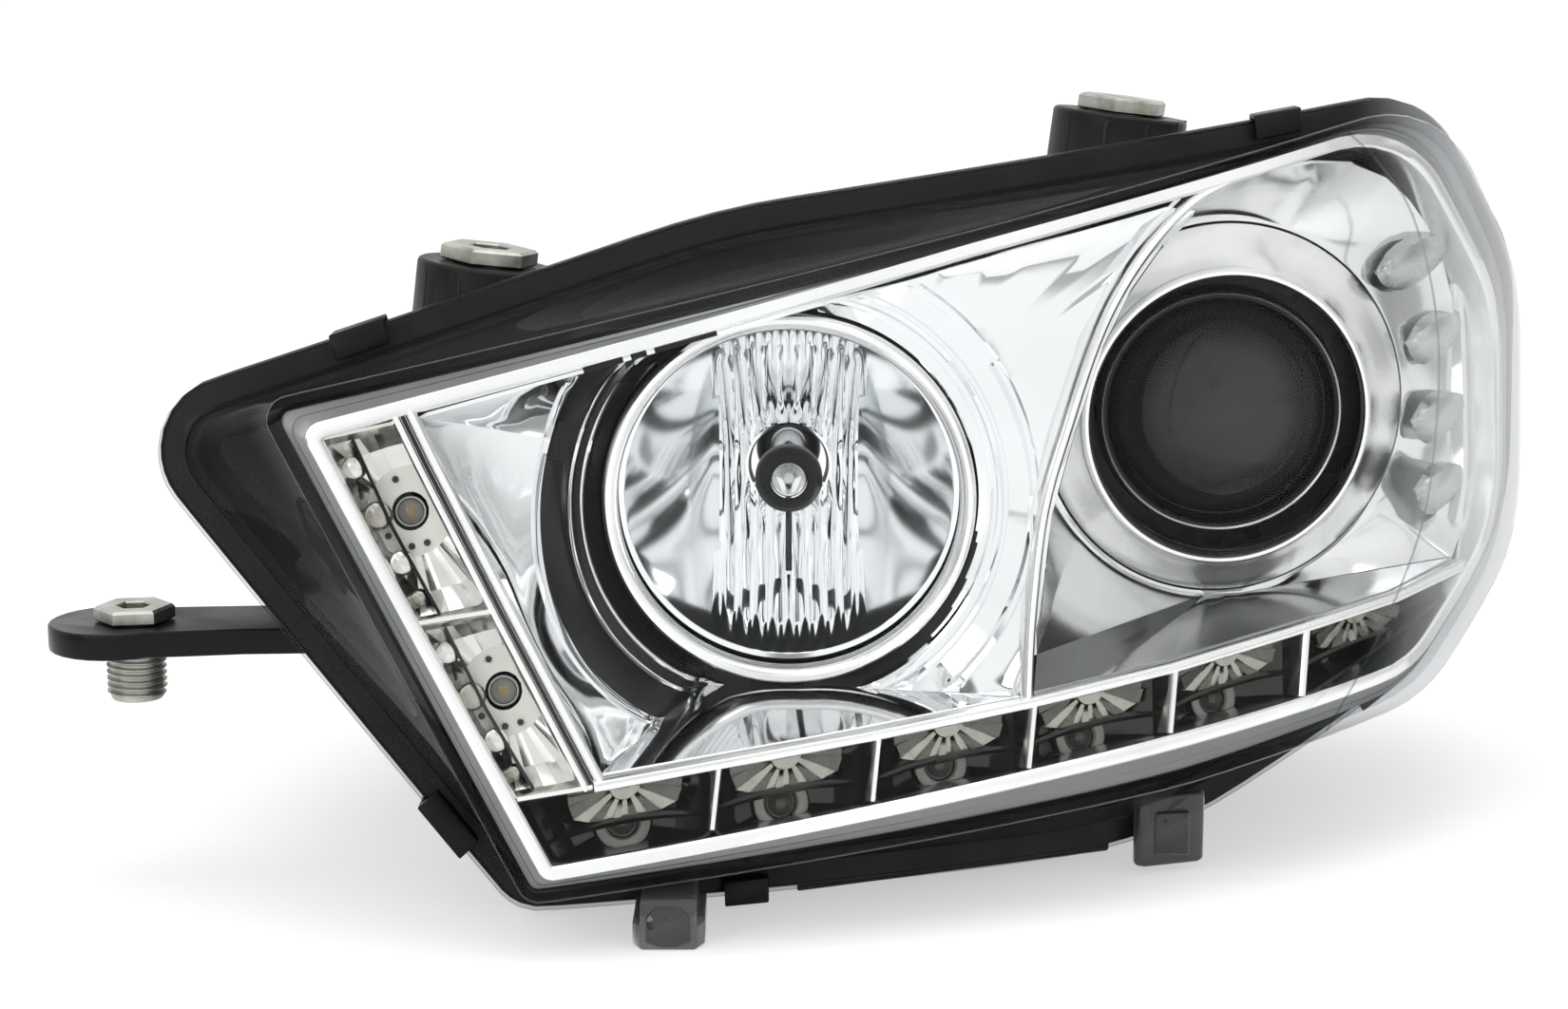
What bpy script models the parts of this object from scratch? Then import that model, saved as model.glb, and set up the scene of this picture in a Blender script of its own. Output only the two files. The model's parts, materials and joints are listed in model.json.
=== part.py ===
"""Car headlight assembly for the left side of the vehicle, with a high beam reflector, a projector low beam,
an L-shaped row of LED cells and an outboard turn signal, in a black housing with three threaded mounting bushes.

Dimensions are in millimetres and are multiplied by MM where meshes are made. They are given in the lamp's own
drawing frame: X outboard, Y to the rear of the vehicle, Z up, with the resting plane at Z = 0. The last step moves
the whole lamp so that the centre of its footprint is the origin."""

import math

import bmesh
import bpy
from mathutils import Vector

MM = 0.001
GAP = 0.3                     # clearance between pieces that touch
FLAT = 0.01                   # a four-sided face twisted by less than this counts as flat

# ---------------------------------------------------------------- the lens form
SWEEP_START, SWEEP_WIDTH, SWEEP_DEPTH = -187.0, 447.0, 215.0   # plan ellipse that wraps round the wing
FACE_Y, FACE_RAKE = -54.0, 0.25                                # front skin of the lens at the inboard end
FLANGE_Y, FLANGE_SWEEP, FLANGE_RAKE = -4.0, 0.93, 0.13         # plane on which the lens meets the housing

# Outlines go clockwise as seen from the front: (x, z, corner radius). A radius of SOFT or more is a bend of a side.
SOFT = 150
FACE = [(-151, 158, 7), (60, 203.5, 400), (212, 238, 42), (253, 170, 70), (250, 92, 50), (205, 50, 45),
        (120, 36.5, 150), (-73, 18, 7)]
FLANGE = [(-199, 150, 22), (-20, 208, 250), (208, 239, 38), (256, 175, 60), (254, 95, 50), (208, 50, 45),
          (116, 8, 150), (-80, 1.5, 16)]
REAR = [(-165, 138, 26), (-20, 190, 150), (196, 214, 30), (246, 165, 35), (246, 95, 35), (200, 45, 35),
        (100, 14, 150), (-75, 8, 22)]
BEZEL_OPENING = [(-103.5, 151, 3), (60, 196, 400), (207, 226, 28), (243, 165, 50), (243, 102, 30),
                 (226, 87.5, 6), (75, 68.5, 300), (-50.5, 52.5, 3)]
SIDE_STEPS = (11, 4, 3, 4, 9, 7)       # points along each side between the hard corners
TURN_WEIGHT = 28.0                      # a radian of turning counts as this much length when points are spread

LENS_WALL = 2.6
LENS_FLANGE = 2.5                       # thickness of the lens flange
FLANGE_WIDTH = 12.0
SEAL_EDGES = (1.5, 7.5)                 # distances of the seal's sides inside the flange's edge
SEAL_BACK = 1.5                         # the housing lip lies this far behind the lens flange
LIP_BACK = 5.5
HOUSING_WALL = 4.0
REAR_Y = 222.0                          # outside of the housing's back wall
BACK_WALL = 3.5

# ---------------------------------------------------------------- optics
HIGH = (1.5, 122.0)                     # (x, z) of the high beam axis
HIGH_RING_Y = 27.0
HIGH_RING_R = 56.0
HIGH_REFLECTOR_Y, HIGH_REFLECTOR_R = 38.0, 50.0
HIGH_SEAT_Y = 90.0                      # back of the bowl
BULB_HOLE_R = 14.0                      # radius of the bulb hole
LOW = (142.6, 135.3)                    # (x, z) of the projector axis
LOW_RING_Y = 95.0
LOW_RING_R = 48.0
LOW_RING_YAW = 9.0                      # the shroud ring follows the sweep of the lens
LOW_RING = (142.4, 136.2)               # (x, z) of the shroud ring's centre
LOW_BASE = (143.3, 136.3)               # and of its base, on the surround
LOW_BASE_Y, LOW_BASE_R = 110.0, 60.0
LENS_R, LENS_APEX_Y, LENS_EDGE_Y, LENS_BACK_Y = 38.0, 97.0, 113.0, 118.0
PLATE_Y, PLATE_T = 124.0, 5.0           # optics carrier plate
PIVOT = (70.0, 118.0, 190.0)            # ball about which the optics are aimed
BALL_R = 7.0
LEVELLER = (70.0, 70.0)                 # (x, z) of the levelling rod
ADJUST_SIDE = (170.0, 190.0)            # (x, z) of the horizontal adjuster
ADJUST_UP = (105.0, 70.0)               # (x, z) of the vertical adjuster

# ---------------------------------------------------------------- rear covers
HIGH_CAP_R, LOW_CAP_R = 52.0, 48.0
CAP_NECK = 7.0                          # the opening is this much smaller than the cap
TURN_SIGNAL = (231.0, 125.0)            # (x, z) of the turn signal bulb

# ---------------------------------------------------------------- mounting
BOSS_LEAN = math.radians(7.0)           # the upper bosses lean outboard
UPPER_INNER = (-90.0, 55.0, 190.0)
UPPER_OUTER = (108.0, 112.0, 232.0)
BOSS_R = 21.5
ARM_BUSH = (-197.0, 31.0)
ARM_BOTTOM, ARM_TOP = 76.0, 84.0


# ================================================================ form functions
def sweep(x):
    t = min(max((x - SWEEP_START) / SWEEP_WIDTH, 0.0), 0.9995)
    return SWEEP_DEPTH * (1 - math.sqrt(1 - t * t))


def sweep_slope(x):
    t = min(max((x - SWEEP_START) / SWEEP_WIDTH, 0.0), 0.9995)
    return SWEEP_DEPTH * t / (SWEEP_WIDTH * math.sqrt(1 - t * t))


def skin(x, z, depth=0.0):
    """The point that lies this far behind the front skin of the lens, along its normal."""
    inward = Vector((-sweep_slope(x), 1.0, -FACE_RAKE)).normalized()
    return Vector((x, FACE_Y + sweep(x) + FACE_RAKE * z, z)) + inward * depth


def on_flange(x, z, back=0.0):
    return Vector((x, FLANGE_Y + FLANGE_SWEEP * sweep(x) + FLANGE_RAKE * z + back, z))


def flange_ring(distance, back):
    """The loop at this distance inside the flange's edge. Every such loop lies on the same ruled surface."""
    edge = outline(FLANGE)
    pairs = zip(edge, inset(edge, FLANGE_WIDTH))
    return [on_flange(a.x, a.y, back).lerp(on_flange(b.x, b.y, back), distance / FLANGE_WIDTH) for a, b in pairs]


def outline(corners, steps=SIDE_STEPS):
    """Points round a rounded outline. Every outline with the same number of hard corners gets matching points."""
    dense, splits = [], []
    count = len(corners)
    for i, (x, z, radius) in enumerate(corners):
        here = Vector((x, z))
        before = (Vector(corners[i - 1][:2]) - here).normalized()
        after = (Vector(corners[(i + 1) % count][:2]) - here).normalized()
        half = before.angle(after) / 2
        centre = here + (before + after).normalized() * radius / math.sin(half)
        first = here + before * radius / math.tan(half) - centre
        turn = math.pi - 2 * half
        side = -1 if before.x * after.y - before.y * after.x > 0 else 1
        for k in range(13):
            if k == 6 and radius < SOFT:
                splits.append(len(dense))
            angle = side * turn * k / 12
            dense.append(centre + Vector((first.x * math.cos(angle) - first.y * math.sin(angle),
                                          first.x * math.sin(angle) + first.y * math.cos(angle))))
    total = len(dense)
    points = []
    for side, start in enumerate(splits):
        end = splits[(side + 1) % len(splits)]
        run = [dense[k % total] for k in range(start, end + (total if end <= start else 0) + 1)]
        marks = [0.0]
        for k in range(1, len(run)):
            length = (run[k] - run[k - 1]).length
            turning = (run[k] - run[k - 1]).angle(run[k + 1] - run[k]) if 0 < k < len(run) - 1 else 0.0
            marks.append(marks[-1] + length + TURN_WEIGHT * turning)
        for step in range(steps[side]):
            wanted = marks[-1] * step / steps[side]
            k = max(j for j in range(len(marks) - 1) if marks[j] <= wanted)
            part = (wanted - marks[k]) / (marks[k + 1] - marks[k])
            points.append(run[k].lerp(run[k + 1], part))
    return points


def inset(points, distance):
    """Moves a clockwise outline inwards by this distance."""
    moved = []
    for i, point in enumerate(points):
        along = (point - points[i - 1]).normalized() + (points[(i + 1) % len(points)] - point).normalized()
        along.normalize()
        moved.append(point + Vector((along.y, -along.x)) * distance)
    return moved


def blend(first, second, part):
    return [a.lerp(b, part) for a, b in zip(first, second)]


def shrink(points, centre, factor):
    return [centre + (point - centre) * factor for point in points]


# ================================================================ mesh builders
def clear_scene():
    for old in list(bpy.data.objects):
        bpy.data.objects.remove(old, do_unlink=True)


def paint(name, colour, roughness, metallic=0.0, alpha=1.0):
    made = bpy.data.materials.new(name)
    made.use_nodes = True
    shader = made.node_tree.nodes["Principled BSDF"]
    shader.inputs["Base Color"].default_value = (*colour, 1.0)
    shader.inputs["Roughness"].default_value = roughness
    shader.inputs["Metallic"].default_value = metallic
    shader.inputs["Alpha"].default_value = alpha
    made.diffuse_color = (*colour, alpha)
    return made


def solid(name, points, faces, look, origin=(0, 0, 0)):
    """An object whose mesh has these points, in the lamp's frame, and whose origin is the given point."""
    mesh = bpy.data.meshes.new(name)
    base = Vector(origin)
    mesh.from_pydata([(Vector(point) - base) * MM for point in points], [], faces)
    work = bmesh.new()
    work.from_mesh(mesh)
    bmesh.ops.recalc_face_normals(work, faces=work.faces)
    work.to_mesh(mesh)
    work.free()
    mesh.shade_smooth()
    mesh.set_sharp_from_angle(angle=math.radians(35))
    made = bpy.data.objects.new(name, mesh)
    bpy.context.collection.objects.link(made)
    made.location = base * MM
    made.parent = lamp_frame
    made.data.materials.append(look)
    return made


def loft(name, loops, look, origin=(0, 0, 0), ring=False):
    """Skins a run of loops of equal length. A loop of one point is a pole; ring joins the last loop to the first.
    A twisted face is split along its shorter diagonal, so that skins a constant distance apart stay parallel."""
    loops = [[Vector(point) for point in loop] for loop in loops]
    points, starts = [], []
    for loop in loops:
        starts.append(len(points))
        points += loop
    faces = []
    for j in range(len(loops) if ring else len(loops) - 1):
        a, b = loops[j], loops[(j + 1) % len(loops)]
        start_a, start_b = starts[j], starts[(j + 1) % len(loops)]
        for i in range(max(len(a), len(b))):
            n = (i + 1) % max(len(a), len(b))
            if len(a) == 1:
                faces.append((start_a, start_b + n, start_b + i))
            elif len(b) == 1:
                faces.append((start_a + i, start_a + n, start_b))
            elif abs((a[n] - a[i]).cross(b[i] - a[i]).normalized().dot(b[n] - a[i])) < FLAT:
                faces.append((start_a + i, start_a + n, start_b + n, start_b + i))
            elif (a[i] - b[n]).length < (a[n] - b[i]).length:
                faces += [(start_a + i, start_a + n, start_b + n), (start_a + i, start_b + n, start_b + i)]
            else:
                faces += [(start_a + i, start_a + n, start_b + i), (start_a + n, start_b + n, start_b + i)]
    if not ring:
        for loop, start in ((loops[0], starts[0]), (loops[-1], starts[-1])):
            if len(loop) > 1:
                faces.append(tuple(range(start, start + len(loop))))
    return solid(name, points, faces, look, origin)


def turned(name, profile, look, centre=(0, 0, 0), axis=(0, 1, 0), segments=24, phase=0.0, origin=None):
    """Turns a closed profile of (radius, distance along the axis) about the axis. A radius of 0 makes a pole."""
    along = Vector(axis).normalized()
    side = Vector((0, 0, 1)) if abs(along.z) < 0.9 else Vector((1, 0, 0))
    across = along.cross(side).normalized()
    up = across.cross(along)
    loops = []
    for radius, distance in profile:
        middle = Vector(centre) + along * distance
        if radius == 0:
            loops.append([middle])
            continue
        angles = [phase + 2 * math.pi * i / segments for i in range(segments)]
        loops.append([middle + (across * math.cos(a) + up * math.sin(a)) * radius for a in angles])
    return loft(name, loops, look, centre if origin is None else origin, ring=profile[0][0] > 0)


def prism(name, corners, axis, low, high, look, origin=(0, 0, 0)):
    """Extrudes a flat outline along "x", "y" or "z". The outline's pairs are the two other axes in order."""
    place = {"x": lambda a, b, d: (d, a, b), "y": lambda a, b, d: (a, d, b), "z": lambda a, b, d: (a, b, d)}[axis]
    return loft(name, [[place(a, b, d) for a, b in corners] for d in (low, high)], look, origin)


def block(name, low, high, look, origin=(0, 0, 0)):
    corners = [(low[0], low[2]), (high[0], low[2]), (high[0], high[2]), (low[0], high[2])]
    return prism(name, corners, "y", low[1], high[1], look, origin)


def closed_wire(name, path, radius, look, origin, sides=6):
    """A round wire along the closed path."""
    path = [Vector(point) for point in path]
    loops = []
    normal = None
    for i, here in enumerate(path):
        along = (path[(i + 1) % len(path)] - path[i - 1]).normalized()
        if normal is None:
            normal = along.orthogonal().normalized()
        normal = (normal - along * normal.dot(along)).normalized()
        across = along.cross(normal)
        loops.append([here + (normal * math.cos(a) + across * math.sin(a)) * radius
                      for a in (2 * math.pi * k / sides for k in range(sides))])
    return loft(name, loops, look, origin, ring=True)


def combine(target, operation, *tools):
    """Adds or cuts the tools, which stay in the scene as hidden guides."""
    for tool in tools:
        tool.hide_render = True
        tool.display_type = "WIRE"
        step = target.modifiers.new(operation.lower() + "_" + tool.name, "BOOLEAN")
        step.operation = operation
        step.solver = "EXACT"
        step.object = tool
    return target


def cut(target, *tools):
    return combine(target, "DIFFERENCE", *tools)


def join(target, *tools):
    return combine(target, "UNION", *tools)


# ================================================================ housing
def tilted_axis():
    return Vector((math.sin(BOSS_LEAN), 0, math.cos(BOSS_LEAN)))


def make_housing():
    flange, rear = outline(FLANGE), outline(REAR)
    body, body_in = inset(flange, 7), inset(flange, 7 + HOUSING_WALL)
    rear_in = inset(rear, HOUSING_WALL)

    def wall(front, back, part, depth, back_y):
        """A loop part of the way from the flange to the back wall."""
        return [Vector((p.x, start.y + (back_y - start.y) * depth, p.y)) for p, start in
                zip(blend(front, back, part), (on_flange(f.x, f.y, LIP_BACK + 1) for f in front))]

    outside = [wall(body, rear, part, depth, REAR_Y - 8) for part, depth in ((0.3, 0.3), (0.7, 0.7), (1.0, 1.0))]
    inside = [wall(body_in, rear_in, part, depth, REAR_Y - 10) for part, depth in ((0.3, 0.3), (0.7, 0.7), (1, 1))]
    loops = [[Vector((p.x, REAR_Y, p.y)) for p in inset(rear, 6)]]
    loops += outside[::-1]
    loops += [[on_flange(p.x, p.y, LIP_BACK + 0.5) for p in body],
              flange_ring(0, LIP_BACK), flange_ring(0, SEAL_BACK), flange_ring(SEAL_EDGES[0], SEAL_BACK),
              flange_ring(SEAL_EDGES[1], SEAL_BACK), flange_ring(7 + HOUSING_WALL, SEAL_BACK),
              [on_flange(p.x, p.y, LIP_BACK + 2) for p in body_in]]
    loops += inside
    loops += [[Vector((p.x, REAR_Y - BACK_WALL, p.y)) for p in inset(rear_in, 6)]]
    housing = loft("housing", loops, black_plastic)

    up = tilted_axis()
    boss_profile = [(0, -30), (BOSS_R, -30), (BOSS_R, -1.2), (BOSS_R - 1.2, 0), (0, 0)]
    add = [turned("boss_inner", boss_profile, black_plastic, UPPER_INNER, up, 20),
           turned("boss_outer", boss_profile, black_plastic, UPPER_OUTER, up, 20),
           prism("arm", [(-126, 21), (-162, 19), (-196, 11), (-216, 14), (-224, 23), (-224, 40), (-216, 49),
                         (-196, 52), (-126, 54)], "z", ARM_BOTTOM, ARM_TOP, black_plastic),
           prism("ridge", [(4, 24), (104, 65), (104, 75), (4, 34)], "z", 0, 14, black_plastic),
           block("rail_inner", (-38, 50, 0), (-30, 205, 12), black_plastic),
           block("rail_outer", (84, 84, 0), (92, 205, 15.5), black_plastic),
           turned("pivot_boss", [(0, 199), (9, 199), (9, 213), (0, 213)], black_plastic,
                  (PIVOT[0], PIVOT[1], 0), (0, 0, 1), 12)]
    take = [turned("bore_inner", [(0, -27.3), (11.3, -27.3), (11.3, 5), (0, 5)], black_plastic, UPPER_INNER, up, 16),
            turned("bore_outer", [(0, -27.3), (11.3, -27.3), (11.3, 5), (0, 5)], black_plastic, UPPER_OUTER, up, 16),
            turned("bore_arm", [(0, 70), (9.4, 70), (9.4, 90), (0, 90)], black_plastic,
                   (ARM_BUSH[0], ARM_BUSH[1], 0), (0, 0, 1), 16),
            turned("bore_pivot", [(0, 190), (4.3, 190), (4.3, 208), (0, 208)], black_plastic,
                   (PIVOT[0], PIVOT[1], 0), (0, 0, 1), 12)]
    for name, (x, z), radius in (("high_opening", HIGH, HIGH_CAP_R - CAP_NECK),
                                 ("low_opening", LOW, LOW_CAP_R - CAP_NECK),
                                 ("motor_opening", LEVELLER, 15.0), ("signal_opening", TURN_SIGNAL, 7.5),
                                 ("side_screw_opening", ADJUST_SIDE, 4.4),
                                 ("up_screw_opening", ADJUST_UP, 4.4)):
        take.append(turned(name, [(0, 205), (radius, 205), (radius, 235), (0, 235)], black_plastic, (x, 0, z),
                           segments=24 if radius > 20 else 14))
    for x, z in VENTS:
        take.append(turned("vent_opening", [(0, 205), (3.4, 205), (3.4, 235), (0, 235)], black_plastic,
                           (x, 0, z), segments=12))
    join(housing, *add)
    return cut(housing, *take)


# ================================================================ lens and seal
def make_lens():
    face = outline(FACE)
    centre = Vector((75, 128))
    rings = (0.25, 0.55, 0.82, 0.97)
    loops = [[skin(centre.x, centre.y)]]
    loops += [[skin(p.x, p.y) for p in shrink(face, centre, s)] for s in rings]
    edge = [skin(p.x, p.y, 1.6) for p in face]
    front_foot = flange_ring(9, -LENS_FLANGE - 1)
    loops += [edge,
              [a.lerp(b, 0.5) for a, b in zip(edge, front_foot)],
              front_foot,
              flange_ring(SEAL_EDGES[1], -LENS_FLANGE), flange_ring(0, -LENS_FLANGE), flange_ring(0, 0),
              flange_ring(SEAL_EDGES[0], 0), flange_ring(SEAL_EDGES[1], 0), flange_ring(FLANGE_WIDTH, 0)]
    edge_in = [skin(p.x, p.y, LENS_WALL + 1.6) for p in inset(face, LENS_WALL)]
    back_foot = flange_ring(FLANGE_WIDTH, -LENS_FLANGE)
    loops += [[a.lerp(b, 0.5) for a, b in zip(back_foot, edge_in)], edge_in]
    loops += [[skin(p.x, p.y, LENS_WALL) for p in shrink(face, centre, s)] for s in rings[::-1][1:]]
    loops += [[skin(centre.x, centre.y, LENS_WALL)]]
    lens = loft("lens_cover", loops, clear_lens)
    join(lens,
         prism("lug_1", [(-44, -24), (-41.5, -29), (-25.5, -29), (-23, -24), (-23, 2), (-44, 2)], "z", 0, 15.5,
               clear_lens),
         prism("lug_2", [(109, 40), (112, 38), (130, 44), (132, 47), (130, 49), (109, 45)], "z", 3, 26,
               clear_lens))


def make_seal():
    outer, inner = SEAL_EDGES
    loft("lens_seal", [flange_ring(outer, GAP), flange_ring(inner, GAP), flange_ring(inner, SEAL_BACK - GAP),
                       flange_ring(outer, SEAL_BACK - GAP)], rubber, ring=True)


# Each clip: the side of the flange outline that it sits on, the part of that side, and the front jaw's thickness.
CLIPS = ((2, 0.05, 0.45, 1.4), (9, 0.25, 0.65, 1.4), (22, 0.2, 0.7, 1.4), (28, 0.6, 0.97, 4.5), (32, 0.15, 0.8, 3.0))


def make_clips():
    """Five clips that hold the lens flange on the housing lip, each a C-section across the edge."""
    edge, inside = flange_ring(0, 0), flange_ring(FLANGE_WIDTH, 0)
    front, back = -LENS_FLANGE - GAP, LIP_BACK + GAP
    for number, (side, first, last, jaw) in enumerate(CLIPS, 1):
        section = [(6, front - jaw), (-1.6, front - jaw), (-1.6, back + 1.3), (3.5, back + 1.3), (3.5, back),
                   (-GAP, back), (-GAP, front), (6, front)]
        ends = []
        for part in (first, last):
            start = edge[side].lerp(edge[side + 1], part)
            inwards = (inside[side].lerp(inside[side + 1], part) - start) / FLANGE_WIDTH
            ends.append([start + inwards * distance + Vector((0, y, 0)) for distance, y in section])
        loft(f"lens_clip_{number}", ends, black_plastic)


# ================================================================ bezel parts
LED_LOWER = ((-66, 28.5), (178, 58.5), (212, 68.0))     # lower edge of the LED row
STRIP_LEFT = ((-108, 153), (-53.5, 49.5))               # centre line of the upright chrome strip
STRIP_RISE = (56.0, 0.127)                              # the lower strip: z = first + second * x
OUTER_LEFT = ((-131, 148), (-65, 28.5))                 # outboard edge of the upright LED row
DIVIDERS = (-18.5, 28.5, 76.0, 121.0, 165.5)            # the lower row's dividers, at x
LED_SPOTS = ((-107, 128.5), (-79.2, 77.1), (-43.8, 38.7), (3.9, 41.5), (53.3, 48.9), (98.4, 53.1),
             (144, 59.1), (191.8, 64.9))
TRAY_FRONT, TRAY_BACK = 13.5, 26.0
BOARD_FRONT, BOARD_BACK = 27.0, 28.6


def strip_z(x):
    return STRIP_RISE[0] + STRIP_RISE[1] * x


def lower_z(x):
    a, b, c = LED_LOWER
    first, second = (a, b) if x < b[0] else (b, c)
    return first[1] + (second[1] - first[1]) * (x - first[0]) / (second[0] - first[0])


def mix(a, b, t):
    return (a[0] + (b[0] - a[0]) * t, a[1] + (b[1] - a[1]) * t)


def led_windows():
    """The outline of each LED cell's window in the bezel, clockwise."""
    windows = []
    for top, bottom in ((0.01, 0.40), (0.445, 0.80)):
        a, b = mix(*OUTER_LEFT, top), mix(*OUTER_LEFT, bottom)
        c, d = mix(*STRIP_LEFT, top + 0.03), mix(*STRIP_LEFT, bottom + 0.12)
        windows.append([a, (c[0] - 3, c[1] - 1), (d[0] - 3, d[1] - 1), b])
    windows.append([(-74, 45), (-55, 46), (DIVIDERS[0] - 2, strip_z(DIVIDERS[0]) - 3),
                    (DIVIDERS[0] - 2, lower_z(DIVIDERS[0])), (-64.5, 29.5)])
    for left, right in zip(DIVIDERS, DIVIDERS[1:] + (213.0,)):
        a, b = left + 2, right - 2
        windows.append([(a, strip_z(a) - 3), (b, strip_z(b) - 3), (b, lower_z(b)), (a, lower_z(a))])
    return windows


def make_main_bezel():
    face, opening = outline(FACE), outline(BEZEL_OPENING)
    outer, inner = inset(face, 5), opening
    middle = blend(outer, inner, 0.5)
    front, back = 6.0, 8.5
    bezel = loft("main_bezel", [[skin(p.x, p.y, front) for p in loop] for loop in (outer, middle, inner)]
                 + [[skin(p.x, p.y, back) for p in loop] for loop in (inner, middle, outer)], chrome, ring=True)
    cut(bezel, *[loft("window", [[skin(x, z, depth) for x, z in window] for depth in (0.0, 15.0)], chrome)
                 for window in led_windows()])


def around(centre, points, radius, yaw=0.0, y=0.0):
    """Points of a circle, in step with the outline points round the same centre."""
    ring = []
    for point in points:
        angle = math.atan2(point.z - centre[1], point.x - centre[0])
        across = radius * math.cos(angle)
        ring.append(Vector((centre[0] + across * math.cos(yaw), y + across * math.sin(yaw),
                            centre[1] + radius * math.sin(angle))))
    return ring


def surround(name, boundary, centre, radius, y, yaw, look):
    """A dished trim from an outline on the bezel to a round opening."""
    corners = [skin(*corner) for corner in boundary]
    edge = []
    for i, corner in enumerate(corners):
        following = corners[(i + 1) % len(corners)]
        steps = math.ceil((following - corner).length / 18)
        edge += [corner.lerp(following, k / steps) for k in range(steps)]
    ring = around(centre, edge, radius, yaw, y)
    middle = [a.lerp(b, 0.5) for a, b in zip(ring, edge)]

    def behind(loop):
        thick = []
        for i, point in enumerate(loop):
            outward = Vector((ring[i].x - centre[0], 0, ring[i].z - centre[1])).normalized()
            normal = (edge[i] - ring[i]).cross(ring[(i + 1) % len(ring)] - ring[i - 1]).normalized()
            hidden = normal if normal.y + 0.5 * normal.dot(outward) > 0 else -normal
            thick.append(point + hidden * SURROUND_WALL)
        return thick

    loft(name, [ring, middle, edge, behind(edge), behind(middle), behind(ring)], look, ring=True)


SURROUND_WALL = 1.5
BLADE = ((128.5, 207.0), (118, 199.5), (106.7, 185.7), (97.4, 169), (88, 144), (80.4, 120), (76.4, 90),
         (75.3, 73.0))


def beside_blade(distance):
    """Points beside the blade's centre line, top to bottom; a positive distance is outboard."""
    points = [Vector(p) for p in BLADE]
    moved = []
    for i, here in enumerate(points):
        along = (points[min(i + 1, len(points) - 1)] - points[max(i - 1, 0)]).normalized()
        moved.append(here + Vector((-along.y, along.x)) * distance)
    return moved


def make_surrounds():
    near = 9.5
    blade = [(p.x, p.y, near) for p in beside_blade(-4.0)[:-1]]
    high = [(-101.5, 149.5, near), (-52, 164.5, near), (-20, 174.5, near), (14, 184, near), (68, 196.5, near),
            (112, 204, near)]
    high += blade + [(71, 69, near), (27, 63.5, near), (-17.5, 58, near), (-47.5, 55.5, near), (-76, 100, near)]
    surround("high_beam_surround", high, HIGH, HIGH_RING_R + 1.5, HIGH_RING_Y + 1, 0.0, chrome)
    blade = [(p.x, p.y, near) for p in beside_blade(4.0)[-2::-1]]
    low = [(79.5, 70.5, near)] + blade + [(150, 214, near), (169, 217, near), (194, 216, 12), (213, 208, 20),
                                          (229, 184, 24), (240, 153, 24), (243, 128, 24), (241, 99, 24),
                                          (222, 90, 16), (200, 86, near), (161, 81, near), (120, 75.5, near)]
    surround("projector_surround", low, LOW_BASE, LOW_BASE_R + 1.5, LOW_BASE_Y + 1, math.radians(LOW_RING_YAW), chrome)


def make_divider_blade():
    """A curved chrome fin between the two beam chambers."""
    front, back, half = 6.4, 30.0, 1.5
    stations = [[skin(a.x, a.y, front), skin(b.x, b.y, front), skin(b.x, b.y, back), skin(a.x, a.y, back)]
                for a, b in zip(beside_blade(half), beside_blade(-half))]
    loft("divider_blade", stations, chrome)


def make_led_tray():
    """The dark reflector tray behind the LED windows: an L-shaped band with a cup for each LED."""
    def station(outer, inner):
        return [skin(*outer, TRAY_FRONT), skin(*inner, TRAY_FRONT), skin(*inner, TRAY_BACK), skin(*outer, TRAY_BACK)]

    outer_x, inner_x = 2.0, 5.5
    stations = [station((mix(*OUTER_LEFT, t)[0] - outer_x, mix(*OUTER_LEFT, t)[1]),
                        (mix(*STRIP_LEFT, t)[0] - inner_x, mix(*STRIP_LEFT, t)[1] - 2)) for t in (0.0, 0.3, 0.6)]
    stations.append(station((-68, 26.5), (-58.5, 44.5)))
    stations += [station((x, lower_z(x) - 1.5), (x, strip_z(x) - 5)) for x in range(-40, 216, 15)]
    tray = loft("led_tray", stations, smoked_chrome)
    cups = []
    for x, z in LED_SPOTS:
        axis = led_axis(x, z)
        cups.append(turned("led_cup", [(0, -9), (8.2, -9), (5.6, 5), (5.6, 14), (0, 14)], smoked_chrome,
                           skin(x, z, 21.0), axis, 10))
    cut(tray, *cups)


def led_axis(x, z):
    return skin(x, z, 1.0) - skin(x, z)


def make_led_boards():
    def station(outer, inner):
        return [skin(*outer, BOARD_FRONT), skin(*inner, BOARD_FRONT), skin(*inner, BOARD_BACK),
                skin(*outer, BOARD_BACK)]

    upright = [station((mix(*OUTER_LEFT, t)[0] + 1, mix(*OUTER_LEFT, t)[1] + 1),
                       (mix(*STRIP_LEFT, t)[0] - 8, mix(*STRIP_LEFT, t)[1] - 2)) for t in (0.05, 0.25, 0.45, 0.62)]
    loft("led_board_upright", upright, board_green)
    loft("led_board_lower", [station((x, lower_z(x) + 1), (x, strip_z(x) - 6)) for x in range(-57, 214, 15)],
           board_green)


def make_leds():
    for number, (x, z) in enumerate(LED_SPOTS, 1):
        axis = led_axis(x, z)
        turned(f"led_{number}", [(0, -5.6), (2.6, -5.0), (4.2, -3.4), (4.8, -1), (4.8, -0.6), (0, -0.6)], led_amber,
               skin(x, z, BOARD_FRONT), axis, 8)


# ================================================================ high beam
def bowl(radius_front, y_front, radius_back, y_back, steps):
    """Profile of a parabolic bowl, front to back."""
    rows = []
    for i in range(steps + 1):
        radius = radius_front + (radius_back - radius_front) * i / steps
        part = (radius_front ** 2 - radius ** 2) / (radius_front ** 2 - radius_back ** 2)
        rows.append((radius, y_front + (y_back - y_front) * part))
    return rows


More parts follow.
